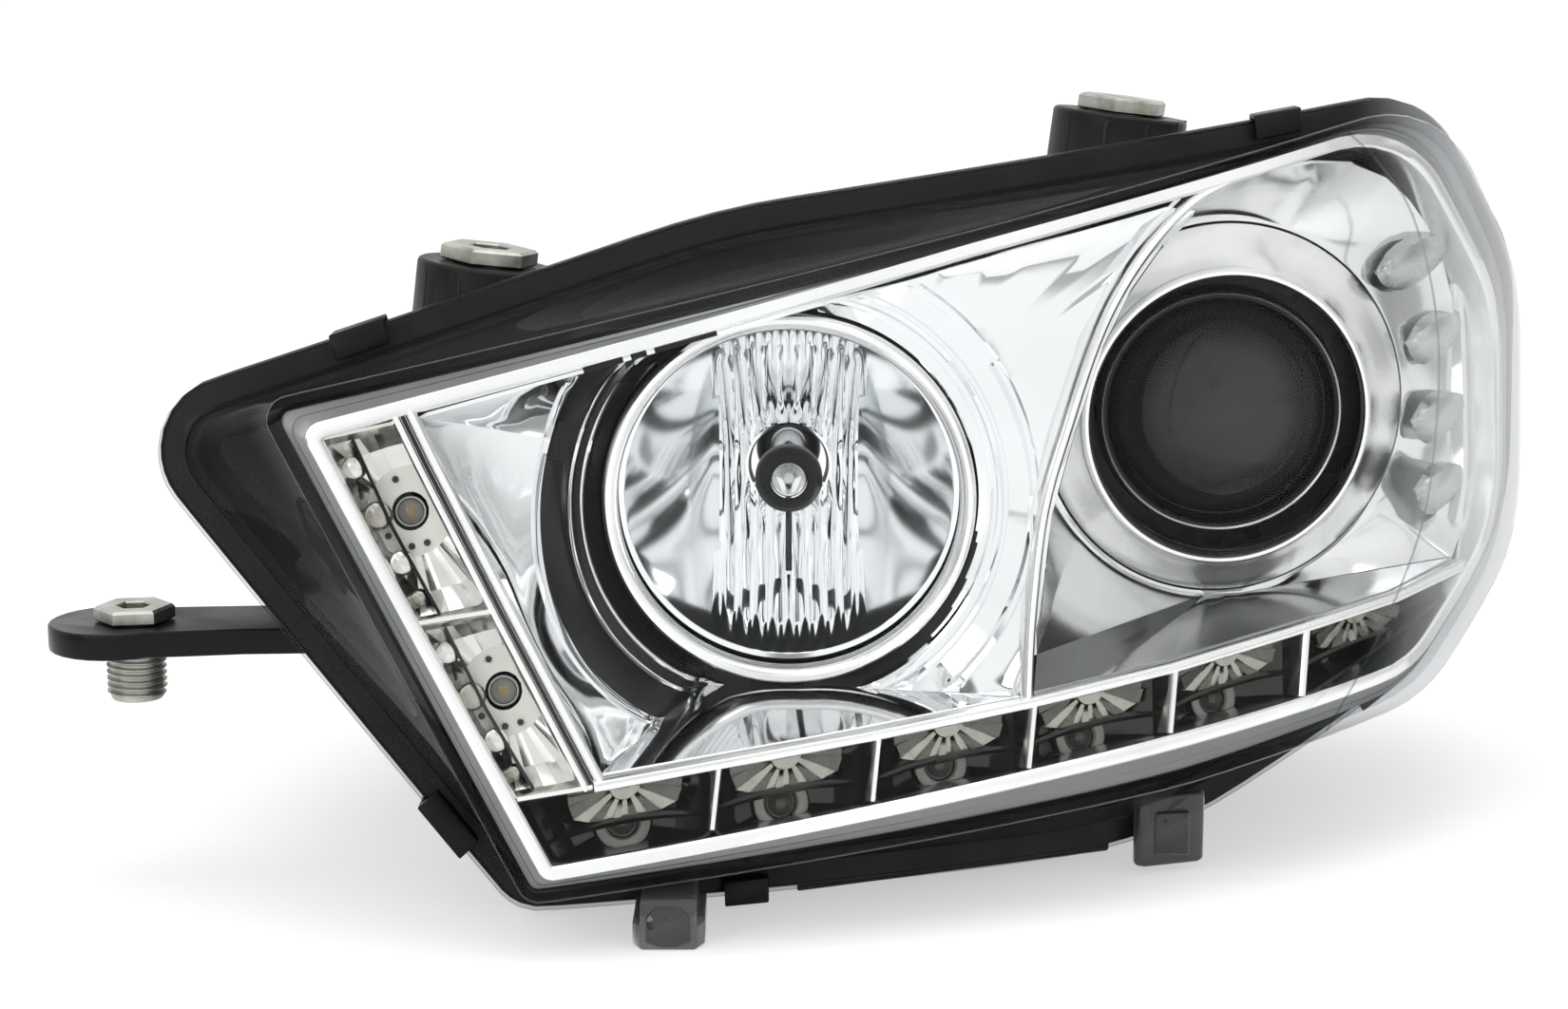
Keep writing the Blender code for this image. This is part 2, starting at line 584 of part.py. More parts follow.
def make_high_beam():
    centre = (HIGH[0], 0, HIGH[1])
    ring = [(51.5, 25.5), (53, 22.5), (55, 22.5), (HIGH_RING_R, 25), (HIGH_RING_R, 29.5), (51.5, 29.5)]
    turned("high_beam_ring", ring, chrome, centre, segments=28)
    inner = bowl(HIGH_REFLECTOR_R, HIGH_REFLECTOR_Y, BULB_HOLE_R, HIGH_SEAT_Y, 5)
    profile = inner + [(BULB_HOLE_R, 94), (34, 94), (34, PLATE_Y - GAP), (37, PLATE_Y - GAP), (37, 80),
                       (HIGH_REFLECTOR_R + 2.5, 46), (HIGH_REFLECTOR_R + 2.5, HIGH_REFLECTOR_Y)]
    turned("high_beam_reflector", profile, chrome, centre, segments=24)
    bulb = [(0, 62), (3.5, 62.8), (5.4, 65), (6, 68), (6, 92), (12, 92), (12, 94.3), (17, 94.3), (17, 97), (12, 97),
            (12, 112), (8, 112), (8, 119), (0, 119)]
    turned("high_beam_bulb", bulb, bulb_glass, centre, segments=12)
    shield = turned("high_beam_bulb_shield",
                    [(0, 57), (8, 57), (10.5, 60), (10.5, 74), (9.3, 74), (9.3, 61), (7, 58.5), (0, 58.5)],
                    dark_metal, centre, segments=16)
    leg = prism("shield_leg", [(HIGH[0] - 1, 91.5), (HIGH[0] + 1, 91.5), (HIGH[0] + 1, 112.1), (HIGH[0] - 1, 112.1)],
                "y", 66, 72, dark_metal)
    join(shield, leg)
    spring_y = 99.0
    wire_bail("high_beam_bulb_spring", HIGH[0] + 27, spring_y, HIGH[1])


def wire_bail(name, hinge_x, y, z):
    """A sprung wire that presses the bulb home, hinged on the upright at its outboard end."""
    path = [(0, -14), (-22, -14.5), (-42, -13), (-50, -7), (-52, 0), (-50, 7), (-42, 13), (-22, 14.5), (0, 14)]
    closed_wire(name, [(hinge_x + dx, y, z + dz) for dx, dz in path], 0.8, spring_steel, (hinge_x, y, z))


# ================================================================ projector low beam
def make_projector():
    yaw = math.radians(LOW_RING_YAW)
    ring = [(45.2, -1), (46.2, -3.5), (47.6, -3.5), (LOW_RING_R, -1.5), (48.2, 2), (LOW_BASE_R, 15.5),
            (LOW_BASE_R - 1.5, 17), (47.2, 4.6), (45.2, 3)]
    spread = [Vector((math.cos(2 * math.pi * i / 28), 0, math.sin(2 * math.pi * i / 28))) for i in range(28)]
    loops = []
    for radius, back in ring:
        x, z = mix(LOW_RING, LOW_BASE, back / (LOW_BASE_Y - LOW_RING_Y))
        loops.append(around((x, z), [p + Vector((x, 0, z)) for p in spread], radius, yaw, LOW_RING_Y + back))
    loft("projector_shroud_ring", loops, chrome, ring=True)
    centre = (LOW[0], 0, LOW[1])
    height = LENS_EDGE_Y - LENS_APEX_Y
    curve = (LENS_R ** 2 + height ** 2) / (2 * height)
    dome = []
    for i in range(6):
        radius = (LENS_R - 0.2) * i / 5
        dome.append((radius, LENS_APEX_Y + curve - math.sqrt(curve ** 2 - radius ** 2)))
    turned("projector_lens", dome + [(LENS_R - 0.2, LENS_BACK_Y), (0, LENS_BACK_Y)], clear_lens, centre, segments=24)
    holder = [(36.8, 109.6), (39.8, 109.6), (40.6, 118), (40.6, 119), (47, 119), (47, PLATE_Y - GAP),
              (41.8, PLATE_Y - GAP), (41.8, 150), (33.6, 150), (33.6, 124), (37.0, 118.4), (38.3, 118.4),
              (38.3, 111.4), (36.8, 111.4)]
    turned("projector_lens_holder", holder, dark_metal, centre, segments=24)
    inner = bowl(33.6, 150.3, 13.2, 188, 4)
    reflector = inner + [(13.2, 192), (19, 192), (19, 188), (36, 156), (41.5, 154), (41.5, 150.3)]
    turned("projector_reflector", reflector, chrome, centre, segments=24)
    shield = [(LOW[0] + 33.3 * math.cos(a), LOW[1] + 33.3 * math.sin(a))
              for a in (math.radians(180 + 15 * i) for i in range(13))]
    shield[0] = (LOW[0] - 33.2, LOW[1] + 1.2)
    prism("cutoff_shield", shield, "y", 143.0, 144.5, dark_metal)
    bulb = [(0, 160), (3.5, 160.8), (5.4, 163), (6, 166), (6, 190), (12, 190), (12, 192.3), (17, 192.3), (17, 195),
            (12, 195), (12, 206), (8, 206), (8, 212), (0, 212)]
    turned("low_beam_bulb", bulb, bulb_glass, centre, segments=12)
    wire_bail("low_beam_bulb_spring", LOW[0] + 27, 196.9, LOW[1])


# ================================================================ turn signal
def make_turn_signal():
    stations = []
    for z, inner_x, outer_x in ((184, 217, 233), (170, 220, 239), (155, 221, 241.5), (140, 222, 243),
                                (120, 222, 243), (104, 220, 240)):
        inner = Vector((inner_x, 166, z))
        outer = Vector((outer_x, 163, z))
        stations.append([inner, outer, outer + Vector((0, 2, 0)), inner + Vector((0, 2, 0))])
    reflector = loft("turn_signal_reflector", stations, chrome)
    x, z = TURN_SIGNAL
    cut(reflector, turned("signal_hole", [(0, 150), (5.6, 150), (5.6, 180), (0, 180)], chrome, (x, 0, z),
                          segments=16))
    turned("turn_signal_bulb", [(0, 158), (2.8, 158.8), (4.6, 161.5), (4.8, 165), (4.8, 180), (0, 180)],
           signal_amber, (x, 0, z), segments=16)
    socket = [(0, 180.3), (6.8, 180.3), (6.8, REAR_Y + GAP), (9, REAR_Y + GAP), (9, REAR_Y + 5), (7, REAR_Y + 5),
              (7, REAR_Y + 14), (0, REAR_Y + 14)]
    body = turned("turn_signal_socket", socket, black_plastic, (x, 0, z), segments=16)
    join(body, block("socket_grip", (x - 8.6, REAR_Y + 4, z - 1.6), (x + 8.6, REAR_Y + 13, z + 1.6), black_plastic))


# ================================================================ aiming mechanism
def make_carrier():
    plate = prism("optics_carrier",
                  [(-42, 96), (-42, 150), (-22, 172), (20, 178), (52, 197), (88, 197), (112, 191), (158, 198),
                   (173, 198), (180, 190), (183, 178), (186, 168), (186, 112), (170, 92), (140, 84), (92, 80), (82, 60),
                   (58, 60), (50, 82), (0, 82), (-24, 84)], "y", PLATE_Y, PLATE_Y + PLATE_T, grey_plastic, PIVOT)
    px, py, pz = PIVOT
    join(plate,
         prism("ball_socket", [(px - 12, py - 11.5), (px + 12, py - 11.5), (px + 12, py + 9), (px - 12, py + 9)],
               "z", pz - 11, pz + 3, grey_plastic),
         turned("rod_boss", [(0, PLATE_Y + 1), (9, PLATE_Y + 1), (9, 137), (0, 137)], grey_plastic,
                (LEVELLER[0], 0, LEVELLER[1]), segments=20),
         turned("nut_boss", [(0, PLATE_Y + 1), (7.5, PLATE_Y + 1), (7.5, 135), (0, 135)], grey_plastic,
                (ADJUST_SIDE[0], 0, ADJUST_SIDE[1]), segments=16))
    cut(plate,
        turned("high_hole", [(0, 110), (30, 110), (30, 140), (0, 140)], grey_plastic, (HIGH[0], 0, HIGH[1]),
               segments=20),
        turned("low_hole", [(0, 110), (42.2, 110), (42.2, 145), (0, 145)], grey_plastic, (LOW[0], 0, LOW[1]),
               segments=24),
        turned("ball_bore", [(0, pz - BALL_R - 0.8), (BALL_R + 0.5, pz - BALL_R - 0.8), (BALL_R + 0.5, pz + 12),
                             (0, pz + 12)], grey_plastic, (px, py, 0), (0, 0, 1), 16),
        turned("rod_bore", [(0, 126), (6.4, 126), (6.4, 145), (0, 145)], grey_plastic,
               (LEVELLER[0], 0, LEVELLER[1]), segments=16),
        turned("nut_bore", [(0, 110), (4.5, 110), (4.5, 145), (0, 145)], grey_plastic,
               (ADJUST_SIDE[0], 0, ADJUST_SIDE[1]), segments=16))


def make_pivot():
    ball = [(0, -BALL_R)]
    ball += [(BALL_R * math.sin(a), -BALL_R * math.cos(a)) for a in (math.radians(25 * i) for i in range(1, 6))]
    ball += [(4, 5.9), (4, 17.5), (0, 17.5)]
    turned("aim_pivot_ball", ball, grey_plastic, PIVOT, (0, 0, 1), 16)


def screw(name, place, inner_y, length_y):
    """An adjuster screw through the back wall, with a cross-slotted head outside."""
    x, z = place
    profile = [(0, inner_y), (3.0, inner_y), (3.0, 205), (length_y, 205), (length_y, 212), (4.0, 212),
               (4.0, REAR_Y + GAP), (8, REAR_Y + GAP), (8, REAR_Y + 9), (0, REAR_Y + 9)]
    made = turned(name, profile, white_plastic, (x, 0, z), segments=12)
    cut(made, block("slot", (x - 5, REAR_Y + 6, z - 0.8), (x + 5, REAR_Y + 12, z + 0.8), white_plastic),
        block("slot", (x - 0.8, REAR_Y + 6, z - 5), (x + 0.8, REAR_Y + 12, z + 5), white_plastic))


def make_adjusters():
    screw("horizontal_adjuster_screw", ADJUST_SIDE, 122, 7)
    screw("vertical_adjuster_screw", ADJUST_UP, 198, 7)
    x, z = LEVELLER
    rod = [(0, 126.6), (3.4, 127.6), (4.9, 130), (5.2, 132), (4.9, 134), (3, 136.4), (3, 240), (0, 240)]
    turned("levelling_rod", rod, white_plastic, (x, 0, z), segments=16)
    motor = [(x - 20, z - 25), (x + 20, z - 25), (x + 22, z - 20), (x + 22, z + 20), (x + 17, z + 25), (x - 17, z + 25),
             (x - 22, z + 20), (x - 22, z - 20)]
    body = prism("levelling_motor", motor, "y", REAR_Y + GAP, REAR_Y + 34, black_plastic)
    join(body, turned("motor_neck", [(0, 210), (14.6, 210), (14.6, 230), (0, 230)], black_plastic, (x, 0, z)),
         block("motor_plug", (x - 10, REAR_Y + 10, z - 33), (x + 10, REAR_Y + 26, z - 20), black_plastic))
    cut(body, turned("motor_bore", [(0, 200), (3.6, 200), (3.6, 248), (0, 248)], black_plastic, (x, 0, z),
                     segments=16),
        block("plug_socket", (x - 8, REAR_Y + 12, z - 40), (x + 8, REAR_Y + 24, z - 23), black_plastic))


# ================================================================ rear covers and fittings
def make_cap(name, place, radius):
    """A twist-off cap with a bar grip, and the rubber seal under its rim."""
    x, z = place
    centre = (x, 0, z)
    neck = radius - CAP_NECK
    seal = [(neck + 1.2, REAR_Y + GAP), (radius - 1.5, REAR_Y + GAP), (radius - 1.5, REAR_Y + 2.3),
            (neck + 1.2, REAR_Y + 2.3)]
    turned(f"{name}_seal", seal, rubber, centre, segments=24)
    top = REAR_Y + 2.6
    plug = neck - 0.8
    cap = [(0, top + 9), (plug - 8, top + 9), (plug - 4, top + 5), (radius, top + 5), (radius, top),
           (neck + 0.6, top), (plug, top - 2), (plug, REAR_Y - 8), (plug - 2.5, REAR_Y - 8), (plug - 2.5, top - 1),
           (plug - 9, top + 6), (0, top + 6)]
    body = turned(name, cap, black_plastic, centre, segments=24)
    join(body, block("grip", (x - plug + 10, top + 7, z - 4), (x + plug - 10, top + 19, z + 4), black_plastic))


def make_bushes():
    """Threaded sleeves that set the lamp's gap to the bodywork."""
    up = tilted_axis()
    for name, place in (("upper_inner_bush", UPPER_INNER), ("upper_outer_bush", UPPER_OUTER)):
        hexagon = turned(name, [(6.2, GAP), (15, GAP), (15, 4.6), (14.3, 5.2), (6.2, 5.2)], zinc, place, up, 6,
                         math.radians(15))
        sleeve = turned("sleeve", [(6.2, -26), (11, -26), (11, 3), (6.2, 3)], zinc, place, up, 16)
        bore = turned("sleeve_bore", [(0, -30), (6.6, -30), (6.6, 8), (0, 8)], zinc, place, up, 14)
        cut(join(hexagon, sleeve), bore)
    x, y = ARM_BUSH
    place = (x, y, 0)
    hexagon = turned("inner_arm_bush", [(4, ARM_TOP + GAP), (12.1, ARM_TOP + GAP), (12.1, 88.2), (11.4, 88.8),
                                        (4, 88.8)], zinc, place, (0, 0, 1), 6, math.radians(20))
    sleeve = turned("arm_sleeve", [(4, 60), (8.2, 60), (9, 61.5), (9, 86), (4, 86)], zinc, place, (0, 0, 1), 16)
    bore = turned("arm_bore", [(0, 50), (5.2, 50), (5.2, 95), (0, 95)], zinc, place, (0, 0, 1), 14)
    cut(join(hexagon, sleeve), bore)


VENTS = ((-58.0, 156.0), (98.0, 34.0))
CONNECTOR = (-63.0, 50.0)
DRIVER = (-100.0, 122.0)


def make_rear_fittings():
    for number, (x, z) in enumerate(VENTS, 1):
        turned(f"vent_cap_{number}", [(0, 212), (3.1, 212), (3.1, REAR_Y + GAP), (8, REAR_Y + GAP), (8, REAR_Y + 9),
                                      (6.5, REAR_Y + 11), (0, REAR_Y + 11)], rubber, (x, 0, z), segments=12)
    x, z = CONNECTOR
    shell = block("main_connector", (x - 22, REAR_Y + GAP, z - 11), (x + 22, REAR_Y + 19, z + 11), black_plastic)
    pins = [block("pin", (x - 15 + 6 * i - 0.6, REAR_Y + 3, row - 0.6), (x - 15 + 6 * i + 0.6, REAR_Y + 13, row + 0.6),
                  zinc) for i in range(6) for row in (z - 4, z + 4)]
    cut(shell, block("connector_mouth", (x - 19.5, REAR_Y + 4, z - 8.5), (x + 19.5, REAR_Y + 25, z + 8.5),
                     black_plastic))
    join(shell, *pins)
    x, z = DRIVER
    case = [(-24, -17), (24, -17), (26, -14), (26, 14), (24, 17), (-24, 17), (-26, 14), (-26, -14)]
    prism("led_driver_module", [(x + dx, z + dz) for dx, dz in case], "y", REAR_Y + GAP, REAR_Y + 14, grey_plastic)


def stand_on_origin():
    """Moves the lamp so that the centre of its footprint is the origin."""
    bpy.context.view_layer.update()
    graph = bpy.context.evaluated_depsgraph_get()
    points = []
    for made in lamp_frame.children:
        if not made.hide_render:
            shown = made.evaluated_get(graph)
            points += [shown.matrix_world @ Vector(corner) for corner in shown.bound_box]
    low = [min(point[axis] for point in points) for axis in range(3)]
    high = [max(point[axis] for point in points) for axis in range(3)]
    lamp_frame.location = (-(low[0] + high[0]) / 2, -(low[1] + high[1]) / 2, -low[2])


clear_scene()
lamp_frame = bpy.data.objects.new("lamp_frame", None)
bpy.context.collection.objects.link(lamp_frame)

black_plastic = paint("black_plastic", (0.012, 0.012, 0.013), 0.45)
grey_plastic = paint("grey_plastic", (0.10, 0.10, 0.11), 0.5)
white_plastic = paint("white_plastic", (0.75, 0.74, 0.70), 0.45)
clear_lens = paint("clear_lens", (0.95, 0.97, 1.0), 0.03, alpha=0.25)
chrome = paint("chrome", (0.86, 0.87, 0.88), 0.08, 1.0)
smoked_chrome = paint("smoked_chrome", (0.22, 0.22, 0.22), 0.2, 1.0)
dark_metal = paint("dark_metal", (0.05, 0.05, 0.055), 0.35, 0.8)
spring_steel = paint("spring_steel", (0.55, 0.55, 0.56), 0.3, 1.0)
zinc = paint("zinc_plate", (0.60, 0.60, 0.57), 0.45, 1.0)
rubber = paint("rubber", (0.02, 0.02, 0.02), 0.8)
bulb_glass = paint("bulb_glass", (0.85, 0.87, 0.9), 0.05)
board_green = paint("circuit_board", (0.02, 0.16, 0.07), 0.5)
led_amber = paint("led_dome", (0.55, 0.45, 0.30), 0.15)
signal_amber = paint("signal_bulb", (0.85, 0.35, 0.05), 0.1)

make_housing()
make_lens()
make_seal()
make_clips()
make_main_bezel()
make_surrounds()
make_divider_blade()
make_led_tray()
make_led_boards()
make_leds()
make_high_beam()
make_projector()
make_turn_signal()
make_carrier()
make_pivot()
make_adjusters()
make_cap("high_beam_cap", HIGH, HIGH_CAP_R)
make_cap("low_beam_cap", LOW, LOW_CAP_R)
make_bushes()
make_rear_fittings()
stand_on_origin()
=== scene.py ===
"""The looks of a car headlight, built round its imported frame.

Shapes repeat the lamp's own drawing frame: millimetres, X outboard, Y to the rear, Z up. ORIGIN, read from the
frame, turns that frame into the row frame."""

import contextlib
import json
import math

import bmesh
import bpy
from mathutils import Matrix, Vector


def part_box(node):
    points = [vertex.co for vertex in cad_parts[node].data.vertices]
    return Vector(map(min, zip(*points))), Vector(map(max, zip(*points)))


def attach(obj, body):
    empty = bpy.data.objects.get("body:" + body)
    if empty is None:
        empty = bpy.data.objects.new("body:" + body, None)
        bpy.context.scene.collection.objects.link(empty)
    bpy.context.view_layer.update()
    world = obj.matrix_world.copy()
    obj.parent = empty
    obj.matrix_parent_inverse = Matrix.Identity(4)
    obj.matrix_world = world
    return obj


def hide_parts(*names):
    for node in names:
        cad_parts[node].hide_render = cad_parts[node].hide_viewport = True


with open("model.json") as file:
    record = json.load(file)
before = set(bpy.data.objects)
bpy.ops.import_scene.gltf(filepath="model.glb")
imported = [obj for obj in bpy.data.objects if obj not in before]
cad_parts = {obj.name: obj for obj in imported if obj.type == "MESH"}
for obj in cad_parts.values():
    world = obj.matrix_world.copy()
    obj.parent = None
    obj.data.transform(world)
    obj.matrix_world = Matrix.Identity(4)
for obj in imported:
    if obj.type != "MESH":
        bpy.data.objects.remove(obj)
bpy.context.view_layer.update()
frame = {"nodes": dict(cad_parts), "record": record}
nodes = frame["nodes"]
MM = 0.001
BODY_OF = {node: body for body, members in frame["record"]["behaviour"]["bodies"].items() for node in members}
SLOT_OF = {row["node"]: row["material_slot"] for row in frame["record"]["subparts"]}

# ---------------------------------------------------------------- the lamp's form, as in the CAD
SWEEP_START, SWEEP_WIDTH, SWEEP_DEPTH = -187.0, 447.0, 215.0
FACE_Y, FACE_RAKE = -54.0, 0.25
FLANGE_Y, FLANGE_SWEEP, FLANGE_RAKE = -4.0, 0.93, 0.13
SOFT = 150
FACE = [(-151, 158, 7), (60, 203.5, 400), (212, 238, 42), (253, 170, 70), (250, 92, 50), (205, 50, 45),
        (120, 36.5, 150), (-73, 18, 7)]
FLANGE = [(-199, 150, 22), (-20, 208, 250), (208, 239, 38), (256, 175, 60), (254, 95, 50), (208, 50, 45),
          (116, 8, 150), (-80, 1.5, 16)]
REAR = [(-165, 138, 26), (-20, 190, 150), (196, 214, 30), (246, 165, 35), (246, 95, 35), (200, 45, 35),
        (100, 14, 150), (-75, 8, 22)]
BEZEL_EDGE = [(-132.5, 148.5, 1.2), (60, 196, 400), (203, 227.7, 38), (246, 165, 60), (246, 100, 45),
              (204, 61.5, 30), (75, 46.0, 400), (-65.5, 28, 1.2)]
SIDE_STEPS = (33, 14, 10, 14, 27, 24)
TURN_WEIGHT = 28.0
LENS_WALL, LENS_FLANGE, FLANGE_WIDTH = 2.6, 2.5, 12.0
SEAL_EDGES, SEAL_BACK, LIP_BACK = (1.5, 7.5), 1.5, 5.5
HOUSING_WALL, REAR_Y, BACK_WALL = 4.0, 222.0, 3.5

HIGH = (1.5, 122.0)
HIGH_RING_MIDDLE = 26.0
LOW = (142.6, 135.3)
LOW_RING, LOW_BASE = (142.4, 136.2), (143.3, 136.3)
LOW_RING_Y, LOW_BASE_Y, LOW_RING_YAW = 95.0, 110.0, math.radians(9.0)
HIGH_CAP_R, LOW_CAP_R, CAP_NECK = 52.0, 48.0, 7.0
TRIM_DEPTH = 9.0
MILKY_FROM_TO = (180, 228)
BOSS_LEAN = math.radians(7.0)
UP = Vector((math.sin(BOSS_LEAN), 0, math.cos(BOSS_LEAN)))
UPPER_INNER, UPPER_OUTER, BOSS_R = (-90.0, 55.0, 190.0), (108.0, 112.0, 232.0), 21.5
ARM_BUSH, ARM_BOTTOM, ARM_TOP = (-197.0, 31.0), 76.0, 84.0
PIVOT = (70.0, 118.0)
LEVELLER, ADJUST_SIDE, ADJUST_UP, TURN_SIGNAL = (70.0, 70.0), (170.0, 190.0), (105.0, 70.0), (231.0, 125.0)
VENTS = ((-58.0, 156.0), (98.0, 34.0))
LED_SPOTS = ((-107, 128.5), (-79.2, 77.1), (-43.8, 38.7), (3.9, 41.5), (53.3, 48.9), (98.4, 53.1),
             (144, 59.1), (191.8, 64.9))
STRIP = ((-109, 155), (-102, 141), (-80, 99), (-53.6, 49.7), (-17.5, 54.4), (27.3, 59.6), (74.8, 65.2), (120, 71),
         (161, 77), (200, 81.5), (229, 85.5))
DIVIDERS = (((-104.5, 96.5), (-82, 99.5)), ((-75.5, 47), (-54, 49.6)), ((-19.5, 36), (-17.5, 54)),
            ((27.6, 41), (29.6, 59.5)), ((75, 46.5), (77, 65)), ((120, 52), (122, 71)), ((165, 57), (167, 77)))
BLADE = ((140.5, 214.5), (129, 209), (118, 199.5), (106.7, 185.7), (97.4, 169), (88, 144), (80.4, 120), (76.4, 90),
         (75, 66.5))

low_corner, high_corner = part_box("high_beam_ring")
ORIGIN = (low_corner + high_corner) / 2 - Vector((HIGH[0], HIGH_RING_MIDDLE, HIGH[1])) * MM


def sweep(x):
    t = min(max((x - SWEEP_START) / SWEEP_WIDTH, 0.0), 0.9995)
    return SWEEP_DEPTH * (1 - math.sqrt(1 - t * t))


def skin(x, z, depth=0.0):
    """The point that lies this far behind the front skin of the lens, along its normal."""
    t = min(max((x - SWEEP_START) / SWEEP_WIDTH, 0.0), 0.9995)
    slope = SWEEP_DEPTH * t / (SWEEP_WIDTH * math.sqrt(1 - t * t))
    inward = Vector((-slope, 1.0, -FACE_RAKE)).normalized()
    return Vector((x, FACE_Y + sweep(x) + FACE_RAKE * z, z)) + inward * depth


def on_flange(x, z, back=0.0):
    return Vector((x, FLANGE_Y + FLANGE_SWEEP * sweep(x) + FLANGE_RAKE * z + back, z))


def on_skin(points, depth):
    return [skin(p.x, p.y, depth) for p in points]


def at_depth(points, y):
    return [Vector((p.x, y, p.y)) for p in points]


def outline(corners, steps=SIDE_STEPS):
    """Points round a rounded outline, clockwise from the front. Outlines with as many hard corners match."""
    dense, splits = [], []
    count = len(corners)
    arc = 24
    for i, (x, z, radius) in enumerate(corners):
        here = Vector((x, z))
        before = (Vector(corners[i - 1][:2]) - here).normalized()
        after = (Vector(corners[(i + 1) % count][:2]) - here).normalized()
        half = before.angle(after) / 2
        centre = here + (before + after).normalized() * radius / math.sin(half)
        first = here + before * radius / math.tan(half) - centre
        turn = math.pi - 2 * half
        side = -1 if before.x * after.y - before.y * after.x > 0 else 1
        for k in range(arc + 1):
            if k == arc // 2 and radius < SOFT:
                splits.append(len(dense))
            angle = side * turn * k / arc
            dense.append(centre + Vector((first.x * math.cos(angle) - first.y * math.sin(angle),
                                          first.x * math.sin(angle) + first.y * math.cos(angle))))
    total = len(dense)
    points = []
    for side, start in enumerate(splits):
        end = splits[(side + 1) % len(splits)]
        run = [dense[k % total] for k in range(start, end + (total if end <= start else 0) + 1)]
        marks = [0.0]
        for k in range(1, len(run)):
            length = (run[k] - run[k - 1]).length
            turning = (run[k] - run[k - 1]).angle(run[k + 1] - run[k]) if 0 < k < len(run) - 1 else 0.0
            marks.append(marks[-1] + length + TURN_WEIGHT * turning)
        for step in range(steps[side]):
            wanted = marks[-1] * step / steps[side]
            k = max(j for j in range(len(marks) - 1) if marks[j] <= wanted)
            points.append(run[k].lerp(run[k + 1], (wanted - marks[k]) / (marks[k + 1] - marks[k])))
    return points


def inset(points, distance):
    """Moves a clockwise outline inwards by this distance."""
    moved = []
    for i, point in enumerate(points):
        along = (point - points[i - 1]).normalized() + (points[(i + 1) % len(points)] - point).normalized()
        along.normalize()
        moved.append(point + Vector((along.y, -along.x)) * distance)
    return moved


def flange_ring(distance, back):
    edge = outline(FLANGE)
    pairs = zip(edge, inset(edge, FLANGE_WIDTH))
    return [on_flange(a.x, a.y, back).lerp(on_flange(b.x, b.y, back), distance / FLANGE_WIDTH) for a, b in pairs]


def beside(path, distance):
    """Points beside a path of (x, z), with mitred corners; a positive distance is to its left."""
    points = [Vector(p[:2]) for p in path]
    moved = []
    for i, here in enumerate(points):
        first = (here - points[max(i - 1, 0)]) if i else (points[1] - here)
        second = (points[min(i + 1, len(points) - 1)] - here) if i + 1 < len(points) else first
        first, second = first.normalized(), second.normalized()
        normal = (Vector((-first.y, first.x)) + Vector((-second.y, second.x))).normalized()
        moved.append(here + normal * distance / max(normal.dot(Vector((-first.y, first.x))), 0.3))
    return moved


# ---------------------------------------------------------------- materials
def feed(tree, target, inputs):
    """Sets a shader node's inputs. A value is a number, a colour or another node's output."""
    for name, value in inputs.items():
        if isinstance(value, bpy.types.NodeSocket):
            tree.links.new(value, target.inputs[name])
        else:
            target.inputs[name].default_value = value
    return target


def shader_node(tree, kind, inputs, **settings):
    made = tree.nodes.new("ShaderNode" + kind)
    for name, value in settings.items():
        setattr(made, name, value)
    return feed(tree, made, inputs)


def maths(tree, operation, *values):
    return shader_node(tree, "Math", dict(enumerate(values)), operation=operation).outputs["Value"]


def blank_material(name):
    """A new material, its node tree, its Principled shader and the object's own coordinates."""
    made = bpy.data.materials.new(name)
    made.use_nodes = True
    tree = made.node_tree
    return made, tree, tree.nodes["Principled BSDF"], tree.nodes.new("ShaderNodeTexCoord").outputs["Object"]


def material(name, colour, roughness, metallic=0.0, grain=(0.0, 1.0), mottle=(0.0, 40.0), waves=(0.0, 30.0),
             coat=0.0, worn=None, specular=0.5):
    """A moulded or plated finish. grain is (bump distance in mm, size per metre); mottle is the share by which
    the colour and roughness vary, and its scale; waves is a slow bump; worn is the colour of the patches in the
    mottle."""
    made, tree, shader, place = blank_material(name)
    feed(tree, shader, {"Base Color": (*colour, 1), "Roughness": roughness, "Metallic": metallic, "Coat Weight": coat,
                        "Coat Roughness": 0.08, "Specular IOR Level": specular})

    def noise(scale, detail):
        return shader_node(tree, "TexNoise", {"Vector": place, "Scale": scale, "Detail": detail}).outputs["Fac"]

    share, scale = mottle
    if share or worn:
        cloud = noise(scale, 3.0)
        smoothest, roughest = roughness * (1 - share), min(roughness * (1 + share), 1.0)
        spread = shader_node(tree, "MapRange", {"Value": cloud, "From Min": 0.3, "From Max": 0.7, "To Min": smoothest,
                                                "To Max": roughest})
        ramp = shader_node(tree, "ValToRGB", {"Fac": cloud})
        other = worn or tuple(c * (1 - share * 0.6) for c in colour)
        for element, position, shade in zip(ramp.color_ramp.elements, (0.32, 0.62), (other, colour)):
            element.position, element.color = position, (*shade, 1)
        feed(tree, shader, {"Roughness": spread.outputs["Result"], "Base Color": ramp.outputs["Color"]})
    height = {}
    for depth, size in (grain, waves):
        if depth:
            bump = shader_node(tree, "Bump", {"Distance": depth * MM, "Strength": 1.0, "Height": noise(size, 2.0),
                                              **height})
            height = {"Normal": bump.outputs["Normal"]}
    feed(tree, shader, height)
    return made


